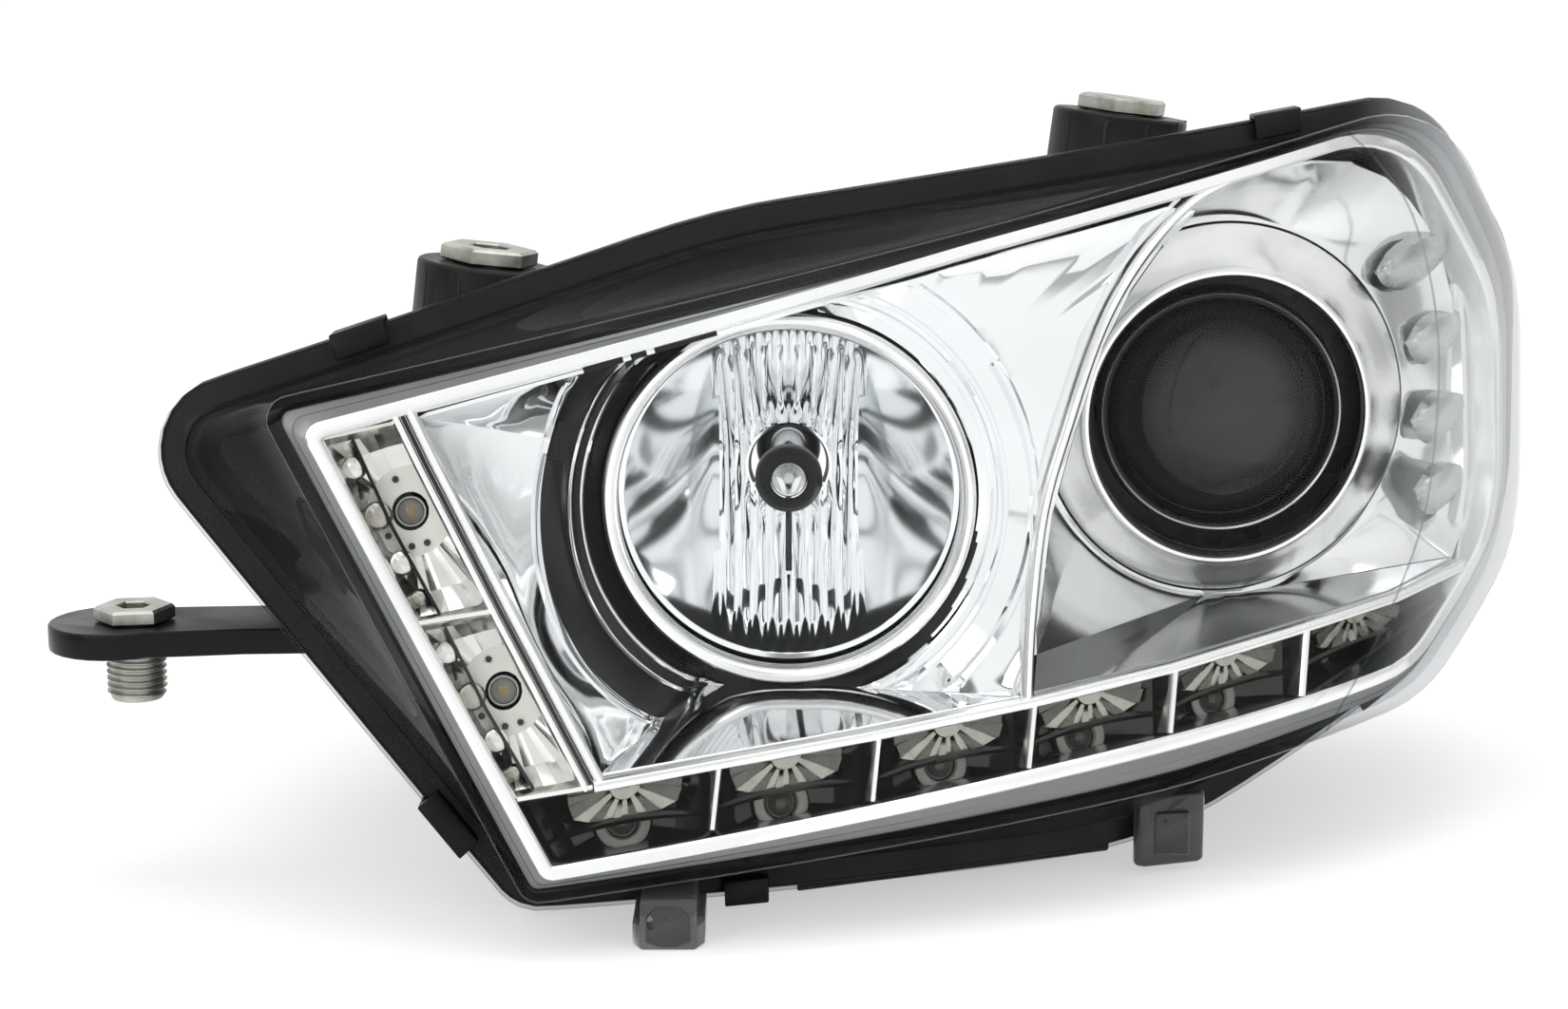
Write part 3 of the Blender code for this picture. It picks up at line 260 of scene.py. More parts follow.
def clear_material(name, tint, haze, edge_haze, gloss=1.0, roughness=0.02, mottle=0.0, shine_head_on=0.04,
                   outboard=0.0, milk_grey=0.64):
    """Clear plastic or glass: it lets light straight through, and turns milkier and shinier the more it is seen
    edge-on. outboard is the milkiness added towards the lamp's outer end."""
    made, tree, unused, place = blank_material(name)
    tree.nodes.remove(unused)

    def mixed(share, first, second):
        return shader_node(tree, "MixShader", {"Fac": share, 1: first, 2: second}).outputs["Shader"]

    through = shader_node(tree, "BsdfTransparent", {"Color": (*tint, 1)}).outputs["BSDF"]
    milky = (milk_grey * 0.98, milk_grey, milk_grey * 1.015, 1)
    milk = shader_node(tree, "BsdfDiffuse", {"Color": milky}).outputs["BSDF"]
    shiny = (gloss, gloss, gloss, 1)
    shine = shader_node(tree, "BsdfGlossy", {"Roughness": roughness, "Color": shiny}).outputs["BSDF"]
    facing = shader_node(tree, "LayerWeight", {"Blend": 0.5}).outputs["Facing"]
    amount = shader_node(tree, "MapRange", {"Value": facing, "From Min": 0.35, "From Max": 1.0, "To Min": haze,
                                            "To Max": edge_haze}).outputs["Result"]
    if mottle:
        cloud = shader_node(tree, "TexNoise", {"Vector": place, "Scale": 45.0}).outputs["Fac"]
        amount = maths(tree, "MULTIPLY_ADD", cloud, mottle, amount)
    if outboard:
        start, full = (ORIGIN.x + x * MM for x in MILKY_FROM_TO)
        across = shader_node(tree, "SeparateXYZ", {"Vector": place}).outputs["X"]
        rise = shader_node(tree, "MapRange", {"Value": across, "From Min": start, "From Max": full,
                                              "To Max": outboard}, interpolation_type="SMOOTHSTEP")
        amount = maths(tree, "ADD", amount, rise.outputs["Result"])
    mirror = maths(tree, "MULTIPLY_ADD", maths(tree, "POWER", facing, 5.0), 1 - shine_head_on, shine_head_on)
    feed(tree, tree.nodes["Material Output"], {"Surface": mixed(mirror, mixed(amount, through, milk), shine)})
    return made


# ---------------------------------------------------------------- mesh builders
@contextlib.contextmanager
def editing(mesh):
    work = bmesh.new()
    work.from_mesh(mesh)
    yield work
    work.to_mesh(mesh)
    work.free()


def face_forward(work):
    """Turns an open sheet so that it faces the front of the lamp on the whole."""
    if sum((face.normal * face.calc_area() for face in work.faces), Vector()).y > 0:
        bmesh.ops.reverse_faces(work, faces=work.faces)


def smooth(piece, angle):
    piece.data.shade_smooth()
    piece.data.set_sharp_from_angle(angle=math.radians(angle))
    return piece


def add_thickness(sheet, thickness):
    """Gives an open sheet a second skin behind it."""
    step = sheet.modifiers.new("thickness", "SOLIDIFY")
    step.thickness = thickness * MM
    step.offset = -1
    return settle(sheet)


def place_object(name, data):
    made = bpy.data.objects.new(name, data)
    bpy.context.scene.collection.objects.link(made)
    return made


def solid(name, points, faces, looks, bands=None, angle=35):
    """A mesh at the origin of the row frame, from points in the lamp's frame. bands gives each face's material."""
    mesh = bpy.data.meshes.new(name)
    mesh.from_pydata([Vector(point) * MM + ORIGIN for point in points], [], faces)
    for look in looks if isinstance(looks, (list, tuple)) else [looks]:
        mesh.materials.append(look)
    if bands:
        mesh.polygons.foreach_set("material_index", bands)
    with editing(mesh) as work:
        bmesh.ops.recalc_face_normals(work, faces=work.faces)
    made = place_object(name, mesh)
    return smooth(made, angle) if angle else made


def loft(name, loops, looks, ring=False, shades=None, caps=True, angle=35):
    """Skins a run of loops of equal length; a loop of one point is a pole. shades gives each band's material."""
    points, starts, faces, bands = [], [], [], []
    for loop in loops:
        starts.append(len(points))
        points += loop
    for j in range(len(loops) if ring else len(loops) - 1):
        a, b = loops[j], loops[(j + 1) % len(loops)]
        start_a, start_b = starts[j], starts[(j + 1) % len(loops)]
        size = max(len(a), len(b))
        for i in range(size):
            n = (i + 1) % size
            if len(a) == 1:
                faces.append((start_a, start_b + n, start_b + i))
            elif len(b) == 1:
                faces.append((start_a + i, start_a + n, start_b))
            else:
                faces.append((start_a + i, start_a + n, start_b + n, start_b + i))
        bands += [shades[j] if shades else 0] * size
    if not ring and caps:
        for loop, start in ((loops[0], starts[0]), (loops[-1], starts[-1])):
            if len(loop) > 1:
                faces.append(tuple(range(start, start + len(loop))))
                bands.append(0)
    return solid(name, points, faces, looks, bands, angle)


def turned(name, profile, looks, centre=(0, 0, 0), axis=(0, 1, 0), segments=64, phase=0.0, shades=None, angle=35):
    """Turns a closed profile of (radius, distance along the axis) about the axis."""
    along = Vector(axis).normalized()
    side = Vector((0, 0, 1)) if abs(along.z) < 0.9 else Vector((1, 0, 0))
    across = along.cross(side).normalized()
    up = across.cross(along)
    loops = []
    for radius, distance in profile:
        middle = Vector(centre) + along * distance
        if radius == 0:
            loops.append([middle])
            continue
        angles = [phase + 2 * math.pi * i / segments for i in range(segments)]
        loops.append([middle + (across * math.cos(a) + up * math.sin(a)) * radius for a in angles])
    return loft(name, loops, looks, ring=profile[0][0] > 0, shades=shades, angle=angle)


def rod(name, radius, low, high, look, centre, axis=(0, 1, 0), segments=64):
    return turned(name, [(0, low), (radius, low), (radius, high), (0, high)], look, centre, axis, segments)


def prism(name, corners, axis, low, high, look):
    place = {"x": lambda a, b, d: Vector((d, a, b)), "y": lambda a, b, d: Vector((a, d, b)),
             "z": lambda a, b, d: Vector((a, b, d))}[axis]
    return loft(name, [[place(a, b, d) for a, b in corners] for d in (low, high)], look)


def block(name, low, high, look):
    corners = [(low[0], low[2]), (high[0], low[2]), (high[0], high[2]), (low[0], high[2])]
    return prism(name, corners, "y", low[1], high[1], look)


def settle(piece):
    """Applies the piece's modifiers."""
    graph = bpy.context.evaluated_depsgraph_get()
    old = piece.data
    piece.data = bpy.data.meshes.new_from_object(piece.evaluated_get(graph))
    piece.modifiers.clear()
    bpy.data.meshes.remove(old)
    return piece


def combine(target, operation, tools):
    for tool in tools:
        step = target.modifiers.new(operation, "BOOLEAN")
        step.operation = operation
        step.solver = "EXACT"
        step.object = tool
    settle(target)
    for tool in tools:
        bpy.data.objects.remove(tool, do_unlink=True)
    return target


def cut(target, *tools):
    return combine(target, "DIFFERENCE", tools)


def join(target, *tools):
    return combine(target, "UNION", tools)


def bevel(piece, width, segments=2, angle=30):
    """Rounds the piece's edges by this many millimetres."""
    step = piece.modifiers.new("rounding", "BEVEL")
    step.width = width * MM
    step.segments = segments
    step.limit_method = "ANGLE"
    step.angle_limit = math.radians(angle)
    step.harden_normals = True
    step.use_clamp_overlap = True
    return smooth(settle(piece), 50)


def merge(name, *pieces):
    """Joins meshes into one piece without cutting them."""
    work = bmesh.new()
    looks = []
    for piece in pieces:
        start = len(work.faces)
        work.from_mesh(piece.data)
        work.faces.ensure_lookup_table()
        indices = []
        for look in piece.data.materials:
            if look not in looks:
                looks.append(look)
            indices.append(looks.index(look))
        for face in work.faces[start:]:
            face.material_index = indices[min(face.material_index, len(indices) - 1)]
    mesh = bpy.data.meshes.new(name)
    work.to_mesh(mesh)
    work.free()
    for look in looks:
        mesh.materials.append(look)
    for piece in pieces:
        bpy.data.objects.remove(piece, do_unlink=True)
    return place_object(name, mesh)


def stands_for(piece, replaced):
    """The piece rides with this node's body, and the node isn't shown."""
    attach(piece, BODY_OF[replaced])
    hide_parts(replaced)


def rail(name, path, section, look):
    """A moulding that follows a path on the lens's skin. section is its closed (offset, depth) outline."""
    rows = [beside(path, offset) for offset, _ in section]
    loops = [[skin(rows[k][i].x, rows[k][i].y, section[k][1]) for k in range(len(section))]
             for i in range(len(path))]
    return loft(name, loops, look)


def smooth_path(path, per=4):
    """A curve through the points (Catmull-Rom)."""
    points = [Vector(p) for p in path]
    points = [2 * points[0] - points[1]] + points + [2 * points[-1] - points[-2]]
    found = []
    for i in range(1, len(points) - 2):
        a, b, c, d = points[i - 1:i + 3]
        for k in range(per):
            t = k / per
            found.append(0.5 * (2 * b + (c - a) * t + (2 * a - 5 * b + 4 * c - d) * t * t
                                + (3 * b - a - 3 * c + d) * t ** 3))
    return found + [points[-2]]


# ---------------------------------------------------------------- finishes
black = material("moulded_black", (0.007, 0.007, 0.0075), 0.36, grain=(0.012, 1100), mottle=(0.35, 30),
                 specular=0.14)
inner_black = material("inner_black", (0.012, 0.012, 0.0125), 0.4, grain=(0.01, 900), mottle=(0.3, 25), specular=0.12)
grey = material("moulded_grey", (0.10, 0.10, 0.11), 0.5, grain=(0.05, 1200), mottle=(0.3, 40))
nylon = material("natural_nylon", (0.72, 0.70, 0.64), 0.42, grain=(0.04, 900), mottle=(0.25, 50))
chrome = material("plated_chrome", (0.90, 0.91, 0.92), 0.045, 1.0, mottle=(0.10, 18), waves=(0.5, 22))
bright = material("plated_bead", (0.95, 0.955, 0.945), 0.26, 1.0, mottle=(0.12, 26), waves=(0.10, 60))
satin = material("satin_metal", (0.23, 0.232, 0.235), 0.38, 1.0, mottle=(0.2, 30))
# Near-black chrome for the dark crescents in the high-beam dish: painted dark reflection.
painted_dark_reflection = material("painted_dark_reflection", (0.012, 0.012, 0.012), 0.2, 0.3, mottle=(0.1, 30), specular=0.3)
soft_chrome = material("soft_chrome", (0.86, 0.865, 0.87), 0.13, 1.0, mottle=(0.12, 24), waves=(0.12, 26))
shelf_chrome = material("shelf_chrome", (0.72, 0.725, 0.73), 0.05, 1.0, mottle=(0.1, 24), waves=(0.04, 40))
# A darker copy of the shelf chrome for the low shelf: painted shade.
shelf_painted_shade = material("low_shelf_chrome_painted_shade", (0.42, 0.425, 0.43), 0.10, 1.0, mottle=(0.3, 26), waves=(0.05, 40))
# A darker copy of the LED body colour for the lower LEDs: painted shade.
led_disc_painted_shade = material("led_disc_painted_shade", (0.12, 0.12, 0.11), 0.4, 0.2, mottle=(0.3, 120))
halo_grey = material("halo_grey", (0.34, 0.34, 0.31), 0.45, 0.2, mottle=(0.35, 90))
optic = material("reflector_chrome", (0.93, 0.94, 0.95), 0.06, 1.0, mottle=(0.08, 20), waves=(0.10, 14))
# Dark chrome, a smoked finish; in the lower cells and their brow it is painted dark reflection and shade.
smoked_and_painted_dark = material("smoked_chrome", (0.045, 0.045, 0.042), 0.10, 0.9, mottle=(0.3, 60))
# The two fan chromes are a lit and a shaded copy of one chrome: painted light and shade on the facets.
fan_bright = material("fan_chrome", (0.43, 0.42, 0.375), 0.3, 1.0, mottle=(0.35, 260))
fan_painted_shade = material("fan_painted_shade_chrome", (0.15, 0.145, 0.13), 0.25, 1.0, mottle=(0.35, 260))
petal_grey = material("petal_chrome", (0.52, 0.53, 0.53), 0.28, 1.0, mottle=(0.2, 60))
pale = material("pale_board", (0.78, 0.76, 0.71), 0.4, 0.3, mottle=(0.12, 200))
cell_bright = material("cell_chrome", (0.74, 0.73, 0.70), 0.22, 1.0, mottle=(0.2, 70), waves=(0.2, 60))
barrel = material("barrel_black", (0.012, 0.013, 0.013), 0.3, 0.2, mottle=(0.2, 60), specular=0.2)
dark_metal = material("dark_coated_metal", (0.05, 0.05, 0.055), 0.3, 0.8, mottle=(0.3, 80))
spring_steel = material("spring_steel", (0.55, 0.55, 0.56), 0.28, 1.0, mottle=(0.2, 90))
zinc = material("zinc_plate", (0.50, 0.51, 0.47), 0.42, 1.0, grain=(0.03, 700), mottle=(0.3, 110),
                worn=(0.25, 0.255, 0.215))
rubber = material("moulded_rubber", (0.02, 0.02, 0.02), 0.8, grain=(0.08, 900), mottle=(0.15, 60))
board = material("circuit_board", (0.02, 0.16, 0.07), 0.45, mottle=(0.4, 160))
amber = material("amber_glass", (0.80, 0.30, 0.03), 0.08, coat=0.8, mottle=(0.2, 60))
die = material("led_die", (0.62, 0.42, 0.12), 0.4, mottle=(0.3, 300))
lens_front = clear_material("lens_clear", (0.99, 0.993, 0.993), 0.0, 0.16, gloss=0.8, shine_head_on=0.006,
                            outboard=0.14, milk_grey=0.86)
lens_side = clear_material("lens_side", (0.80, 0.81, 0.82), 0.0, 0.05, gloss=0.3, mottle=0.006, shine_head_on=0.01,
                           outboard=0.40, milk_grey=0.52)
# Clear plastic tinted dark for the lens lugs: painted shade.
lug_glass_painted_shade = clear_material("lug_glass_painted_shade", (0.16, 0.165, 0.175), 0.02, 0.2, mottle=0.05)
glass = clear_material("clear_glass", (0.97, 0.98, 0.98), 0.0, 0.15)
dome = clear_material("dome_glass", (0.72, 0.72, 0.70), 0.04, 0.3)
# A darker copy of the dome glass for the lower LEDs: painted shade.
dome_painted_shade = clear_material("dome_glass_painted_shade", (0.6, 0.6, 0.56), 0.03, 0.12, gloss=0.5)


def painted_light_glass(name):
    """A thick, dark lens with painted light and shade: lighter in the middle of the bowl, darker in rings outwards.
    """
    made, tree, shader, place = blank_material(name)
    apart = shader_node(tree, "SeparateXYZ", {"Vector": place}).outputs
    gap = shader_node(tree, "CombineXYZ", {"X": apart["X"], "Z": apart["Z"]}).outputs["Vector"]
    middle = ORIGIN + Vector((LOW[0], 0, LOW[1])) * MM
    middle_of_bowl = (middle.x - 0.001, 0, middle.z + 0.002)
    away = shader_node(tree, "VectorMath", {0: gap, 1: middle_of_bowl}, operation="DISTANCE")
    cloud = shader_node(tree, "TexNoise", {"Vector": place, "Scale": 55}).outputs["Fac"]
    uneven = maths(tree, "MULTIPLY_ADD", cloud, 0.004, away.outputs["Value"])
    ramp = shader_node(tree, "ValToRGB", {"Fac": maths(tree, "MULTIPLY", uneven, 1 / 0.038)})
    # A lighter middle, a dark ring, a fainter ring and a dark rim: painted light and shade.
    painted_shade_stops = ((0.0, 0.050), (0.58, 0.042), (0.74, 0.014), (0.86, 0.018), (0.97, 0.005))
    elements = ramp.color_ramp.elements
    elements[0].position, elements[1].position = painted_shade_stops[0][0], painted_shade_stops[-1][0]
    for position, _ in painted_shade_stops[1:-1]:
        elements.new(position)
    for element, (_, value) in zip(elements, painted_shade_stops):
        element.color = (value, value * 0.98, value * 0.93, 1)
    feed(tree, shader, {"Roughness": 0.02, "IOR": 1.5, "Specular IOR Level": 0.16,
                        "Base Color": ramp.outputs["Color"]})
    return made


projector_lens_painted = painted_light_glass("projector_glass_painted_light")


# ---------------------------------------------------------------- housing and lens
def make_housing():
    flange, rear = outline(FLANGE), outline(REAR)
    body, body_in = inset(flange, 7), inset(flange, 7 + HOUSING_WALL)
    rear_in = inset(rear, HOUSING_WALL)

    def wall(front, back, part, back_y):
        found = []
        for f, b, p in zip(front, back, flange):
            start = on_flange(p.x, p.y, LIP_BACK + 1)
            flat = f.lerp(b, part)
            found.append(Vector((flat.x, start.y + (back_y - start.y) * part, flat.y)))
        return found

    parts = (0.3, 0.5, 0.7, 0.9, 1.0)
    loops = [at_depth(inset(rear, distance), REAR_Y - back)
             for distance, back in ((6, 0), (5, 0), (3, 0.8), (1.2, 2.8), (0.3, 5.2))]
    loops += [wall(body, rear, part, REAR_Y - 8) for part in reversed(parts)]
    loops += [[on_flange(p.x, p.y, LIP_BACK + 0.5) for p in body],
              flange_ring(0.5, LIP_BACK), flange_ring(0, LIP_BACK - 0.5), flange_ring(0, SEAL_BACK + 0.5),
              flange_ring(0.5, SEAL_BACK), flange_ring(SEAL_EDGES[1], SEAL_BACK),
              flange_ring(7 + HOUSING_WALL, SEAL_BACK), [on_flange(p.x, p.y, LIP_BACK + 2) for p in body_in]]
    loops += [wall(body_in, rear_in, part, REAR_Y - 10) for part in parts]
    loops.append(at_depth(inset(rear_in, 6), REAR_Y - BACK_WALL))
    housing = loft("housing_shell", loops, black)
    boss = [(0, -30), (BOSS_R, -30), (BOSS_R, -1.2), (BOSS_R - 0.4, -0.4), (BOSS_R - 1.2, 0), (0, 0)]
    arm = [(-126, 21), (-162, 19), (-180, 16)] + [
        (-202.5 + 20.5 * math.cos(a), 31 + 20.5 * math.sin(a))
        for a in (math.radians(-52 - 13 * i) for i in range(20))] + [(-180, 50), (-126, 54)]
    arm = [(x, y) for x, y in arm if x >= -224]
    add = [turned("boss", boss, black, UPPER_INNER, UP), turned("boss", boss, black, UPPER_OUTER, UP),
           bevel(prism("arm", arm, "z", ARM_BOTTOM, ARM_TOP, black), 0.8),
           bevel(prism("ridge", [(4, 24), (104, 65), (104, 75), (4, 34)], "z", 0, 14, black), 0.8),
           bevel(block("rail", (-38, 50, 0), (-30, 205, 12), black), 0.8),
           bevel(block("rail", (84, 84, 0), (92, 205, 15.5), black), 0.8),
           turned("pivot_boss", [(0, 199), (9, 199), (9, 212), (8, 213), (0, 213)], black, (*PIVOT, 0), (0, 0, 1),
                  32)]
    for centre in (UPPER_INNER, UPPER_OUTER):
        for k in range(10):
            angle = math.radians(36 * k)
            x, y = centre[0] + 20.2 * math.cos(angle), centre[1] + 20.2 * math.sin(angle)
            add.append(rod("rib", 1.5, -28, -2.4, black, (x, y, centre[2]), UP, 10))
    take = [rod("bore", 11.3, -27.3, 5, black, UPPER_INNER, UP, 48),
            rod("bore", 11.3, -27.3, 5, black, UPPER_OUTER, UP, 48),
            rod("bore", 9.4, 70, 90, black, (*ARM_BUSH, 0), (0, 0, 1), 48),
            rod("bore", 4.3, 190, 208, black, (*PIVOT, 0), (0, 0, 1), 24)]
    for (x, z), radius in ((HIGH, HIGH_CAP_R - CAP_NECK), (LOW, LOW_CAP_R - CAP_NECK), (LEVELLER, 15.0),
                           (TURN_SIGNAL, 7.5), (ADJUST_SIDE, 4.4), (ADJUST_UP, 4.4), (VENTS[0], 3.4),
                           (VENTS[1], 3.4)):
        take.append(rod("opening", radius, 205, 235, black, (x, 0, z), segments=48))
    join(housing, *add)
    cut(housing, *take)
    housing.data.set_sharp_from_angle(angle=math.radians(35))
    stands_for(housing, "housing")


def make_lens():
    face = outline(FACE)
    centre = Vector((75, 128))
    rings = (0.12, 0.25, 0.4, 0.55, 0.7, 0.82, 0.92, 0.98)

    def shrunk(s, depth):
        return on_skin([centre + (p - centre) * s for p in face], depth)

    loops = [[skin(centre.x, centre.y)]]
    loops += [shrunk(s, 0) for s in rings]
    loops += [on_skin(inset(face, i), d) for i, d in ((0.7, 0.1), (0.15, 0.7), (0, 1.6))]
    front = len(loops) - 2
    edge = loops[-1]
    foot = flange_ring(9, -LENS_FLANGE - 1)
    loops += [[a.lerp(b, t) for a, b in zip(edge, foot)] for t in (0.25, 0.5, 0.75, 0.96)]
    loops += [foot, flange_ring(SEAL_EDGES[1], -LENS_FLANGE), flange_ring(0.6, -LENS_FLANGE),
              flange_ring(0, -LENS_FLANGE + 0.6), flange_ring(0, -0.3), flange_ring(SEAL_EDGES[0], 0),
              flange_ring(SEAL_EDGES[1], 0), flange_ring(FLANGE_WIDTH, 0)]
    edge_in = on_skin(inset(face, LENS_WALL), LENS_WALL + 1.6)
    back_foot = flange_ring(FLANGE_WIDTH, -LENS_FLANGE)
    loops += [[a.lerp(b, t) for a, b in zip(back_foot, edge_in)] for t in (0.33, 0.66, 1.0)]
    side_end = len(loops) - 1
    loops += [shrunk(s, LENS_WALL) for s in rings[:-1][::-1]]
    loops += [[skin(centre.x, centre.y, LENS_WALL)]]
    shades = [1 if front <= j < side_end else 0 for j in range(len(loops))]
    stands_for(loft("clear_lens", loops, [lens_front, lens_side], shades=shades), "lens_cover")

    # The lugs are in the dark-tinted clear plastic: painted shade.
    foot_1 = prism("lug", [(-44, -24), (-41.5, -29), (-25.5, -29), (-23, -24), (-23, 2), (-44, 2)], "z", 0, 15.5,
                   lug_glass_painted_shade)
    taper_cut = [block("notch", (-60, -40, 7.5), (-41.5, 10, 20), lug_glass_painted_shade),
                 block("notch", (-25.5, -40, 7.5), (-10, 10, 20), lug_glass_painted_shade)]
    bevel(cut(foot_1, *taper_cut), 0.9, 3)
    foot_2 = prism("lug", [(109, 40), (112, 38), (130, 44), (132, 47), (130, 49), (109, 45)], "z", 3, 26, lug_glass_painted_shade)
    bevel(foot_2, 1.6, 3)
    pad = [(-40, 2.5), (-36, 1), (-31, 1), (-27, 2.5), (-27, 10), (-30, 13), (-37, 13), (-40, 10)]
    pads = [bevel(prism("pad", pad, "y", -29.6, -27, lug_glass_painted_shade), 0.5),
            bevel(block("pad", (115, 38.6, 7), (126, 43, 21), lug_glass_painted_shade), 0.8)]
    lugs = merge("lens_lugs", foot_1, foot_2, *pads)
    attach(lugs, "housing")

    crease = smooth_path([(178, 227), (188, 218), (200, 203), (208, 181), (211.5, 157), (210, 132), (205, 106),
                          (194, 83), (181, 63), (168, 46)], 6)
    line = rail("lens_mould_line", crease, [(-0.45, 0.2), (0, -0.12), (0.45, 0.2)], lens_side)
    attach(line, "housing")


def make_skirt():
    """The dark wall that closes the gap between the bezel's edge and the lens flange."""
    face = outline(FACE)
    top = on_skin(inset(face, 5.2), 10)
    root = flange_ring(FLANGE_WIDTH + 1.5, 1.0)
    wall = []
    for t, step in ((0, 0), (0.2, 0.8), (0.22, 1.8), (0.45, 2.2), (0.47, 3.2), (0.72, 3.4), (0.74, 4.4), (1, 4.4)):
        middle = [a.lerp(b, t) for a, b in zip(top, root)]
        wall.append([m + Vector((c.x - p.x, 0, c.y - p.y)) for m, p, c in zip(middle, face, inset(face, step))])
    back = [[p + Vector((q.x - o.x, 1.5, q.y - o.y)) for p, o, q in zip(loop, face, inset(face, 1.2))]
            for loop in reversed(wall)]
    skirt = loft("bezel_skirt", wall + back, inner_black, ring=True)
    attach(skirt, "housing")


def make_seal():
    outer, inner = SEAL_EDGES
    seal = loft("seal_ring", [flange_ring(outer, 0.3), flange_ring(inner, 0.3), flange_ring(inner, SEAL_BACK - 0.3),
                              flange_ring(outer, SEAL_BACK - 0.3)], rubber, ring=True)
    stands_for(seal, "lens_seal")


# ---------------------------------------------------------------- bezel and trims
def make_bezel():
    edge, limit = outline(BEZEL_EDGE), inset(outline(FACE), 3.6)
    section = [(0.4, 21), (0.2, 8.0), (0, 6.6), (-0.7, 6.0), (-3.8, 5.9)]
    loops = [on_skin(inset(edge, offset), depth) for offset, depth in section]
    looks = [0] * len(section)
    start = inset(edge, -3.8)
    for part, depth in ((0.04, 6.0), (0.10, 6.4), (0.55, 6.8), (0.60, 6.5), (0.92, 7.0), (1.0, 8.0), (0.99, 10.5),
                        (0.8, 11.0), (0.1, 9.4)):
        loops.append(on_skin([a.lerp(b, part) for a, b in zip(start, limit)], depth))
        looks.append(0 if part == 0.04 else 1)
    loops += [on_skin(inset(edge, -1.2), depth) for depth in (9.2, 21)]
    looks += [1, 1]
    ring = loft("bezel_ring", loops, [bright, satin], ring=True, shades=looks)
    wide = [(-3.6, 21), (-3.6, 7.4), (-3.0, 6.5), (-2.2, 6.2), (-1.5, 6.6), (-1.1, 8.2), (0.4, 8.4), (0.8, 6.8),
            (1.4, 6.1), (2.8, 5.9), (3.6, 6.5), (3.9, 7.4), (3.9, 21)]
    bead = [(-1.9, 21), (-1.9, 7.2), (-1.5, 6.3), (-0.7, 6.0), (-0.1, 6.5), (0.2, 6.9), (0.5, 6.2), (1.2, 5.9),
            (1.8, 6.6), (2.0, 7.4), (2.0, 21)]
    pieces = [ring, rail("strip", STRIP[:4], wide, bright), rail("strip", STRIP[3:], bead, bright)]
    pieces.append(rail("groove", STRIP[:4], [(-0.9, 9.2), (-0.9, 7.7), (0.3, 7.7), (0.3, 9.2)], smoked_and_painted_dark))
    narrow = [(-1.1, 20), (-1.1, 7.4), (-0.6, 6.6), (0.6, 6.6), (1.1, 7.4), (1.1, 20)]
    pieces += [rail("divider", divider, narrow, bright) for divider in DIVIDERS]
    stands_for(merge("bezel", *pieces), "main_bezel")


def make_blade():
    section = [(-1.7, 32), (-1.7, 8.4), (-1.3, 7.0), (-0.4, 6.2), (0.4, 6.2), (1.3, 7.0), (1.7, 8.4), (1.7, 32)]
    stands_for(rail("curved_blade", smooth_path(BLADE, 5), section, bright), "divider_blade")


def dense_boundary(corners, step=2.5):
    """Points along a closed outline. A corner is an (x, z, depth) on the skin, or a Vector that lies off it."""
    points = [corner if isinstance(corner, Vector) else skin(*corner) for corner in corners]
    found = []
    for i, a in enumerate(points):
        b = points[(i + 1) % len(points)]
        count = max(1, math.ceil((b - a).length / step))
        found += [a.lerp(b, k / count) for k in range(count)]
    return found


def circle_in_step(centre, points, radius, y, yaw=0.0):
    found = []
    for point in points:
        angle = math.atan2(point.z - centre[1], point.x - centre[0])
        across = radius * math.cos(angle)
        found.append(Vector((centre[0] + across * math.cos(yaw), y + across * math.sin(yaw),
                             centre[1] + radius * math.sin(angle))))
    return found


def thicken(name, loops, look, thickness, angle=40):
    """A sheet through the loops, with a second skin behind it."""
    sheet = loft(name, loops, look, caps=False, angle=None)
    with editing(sheet.data) as work:
        bmesh.ops.recalc_face_normals(work, faces=work.faces)
        face_forward(work)
    return smooth(add_thickness(sheet, thickness), angle)


def ledge(name, corners, look):
    """A mirror-bright shelf between the strip and the bottom of a lamp ring."""
    top = [corner if isinstance(corner, Vector) else skin(*corner) for corner in corners]
    return loft(name, [top, [p + Vector((0, 0.6, -1.2)) for p in top]], look, angle=None)


def sagging(inner, outer, steps, longest, share):
    """Loops from one edge to the other that hang to the rear by a share of the distance between them."""
    return [[a.lerp(b, t) + Vector((0, sag * min((b - a).length, longest) * share, 0)) for a, b in zip(inner, outer)]
            for t, sag in steps]


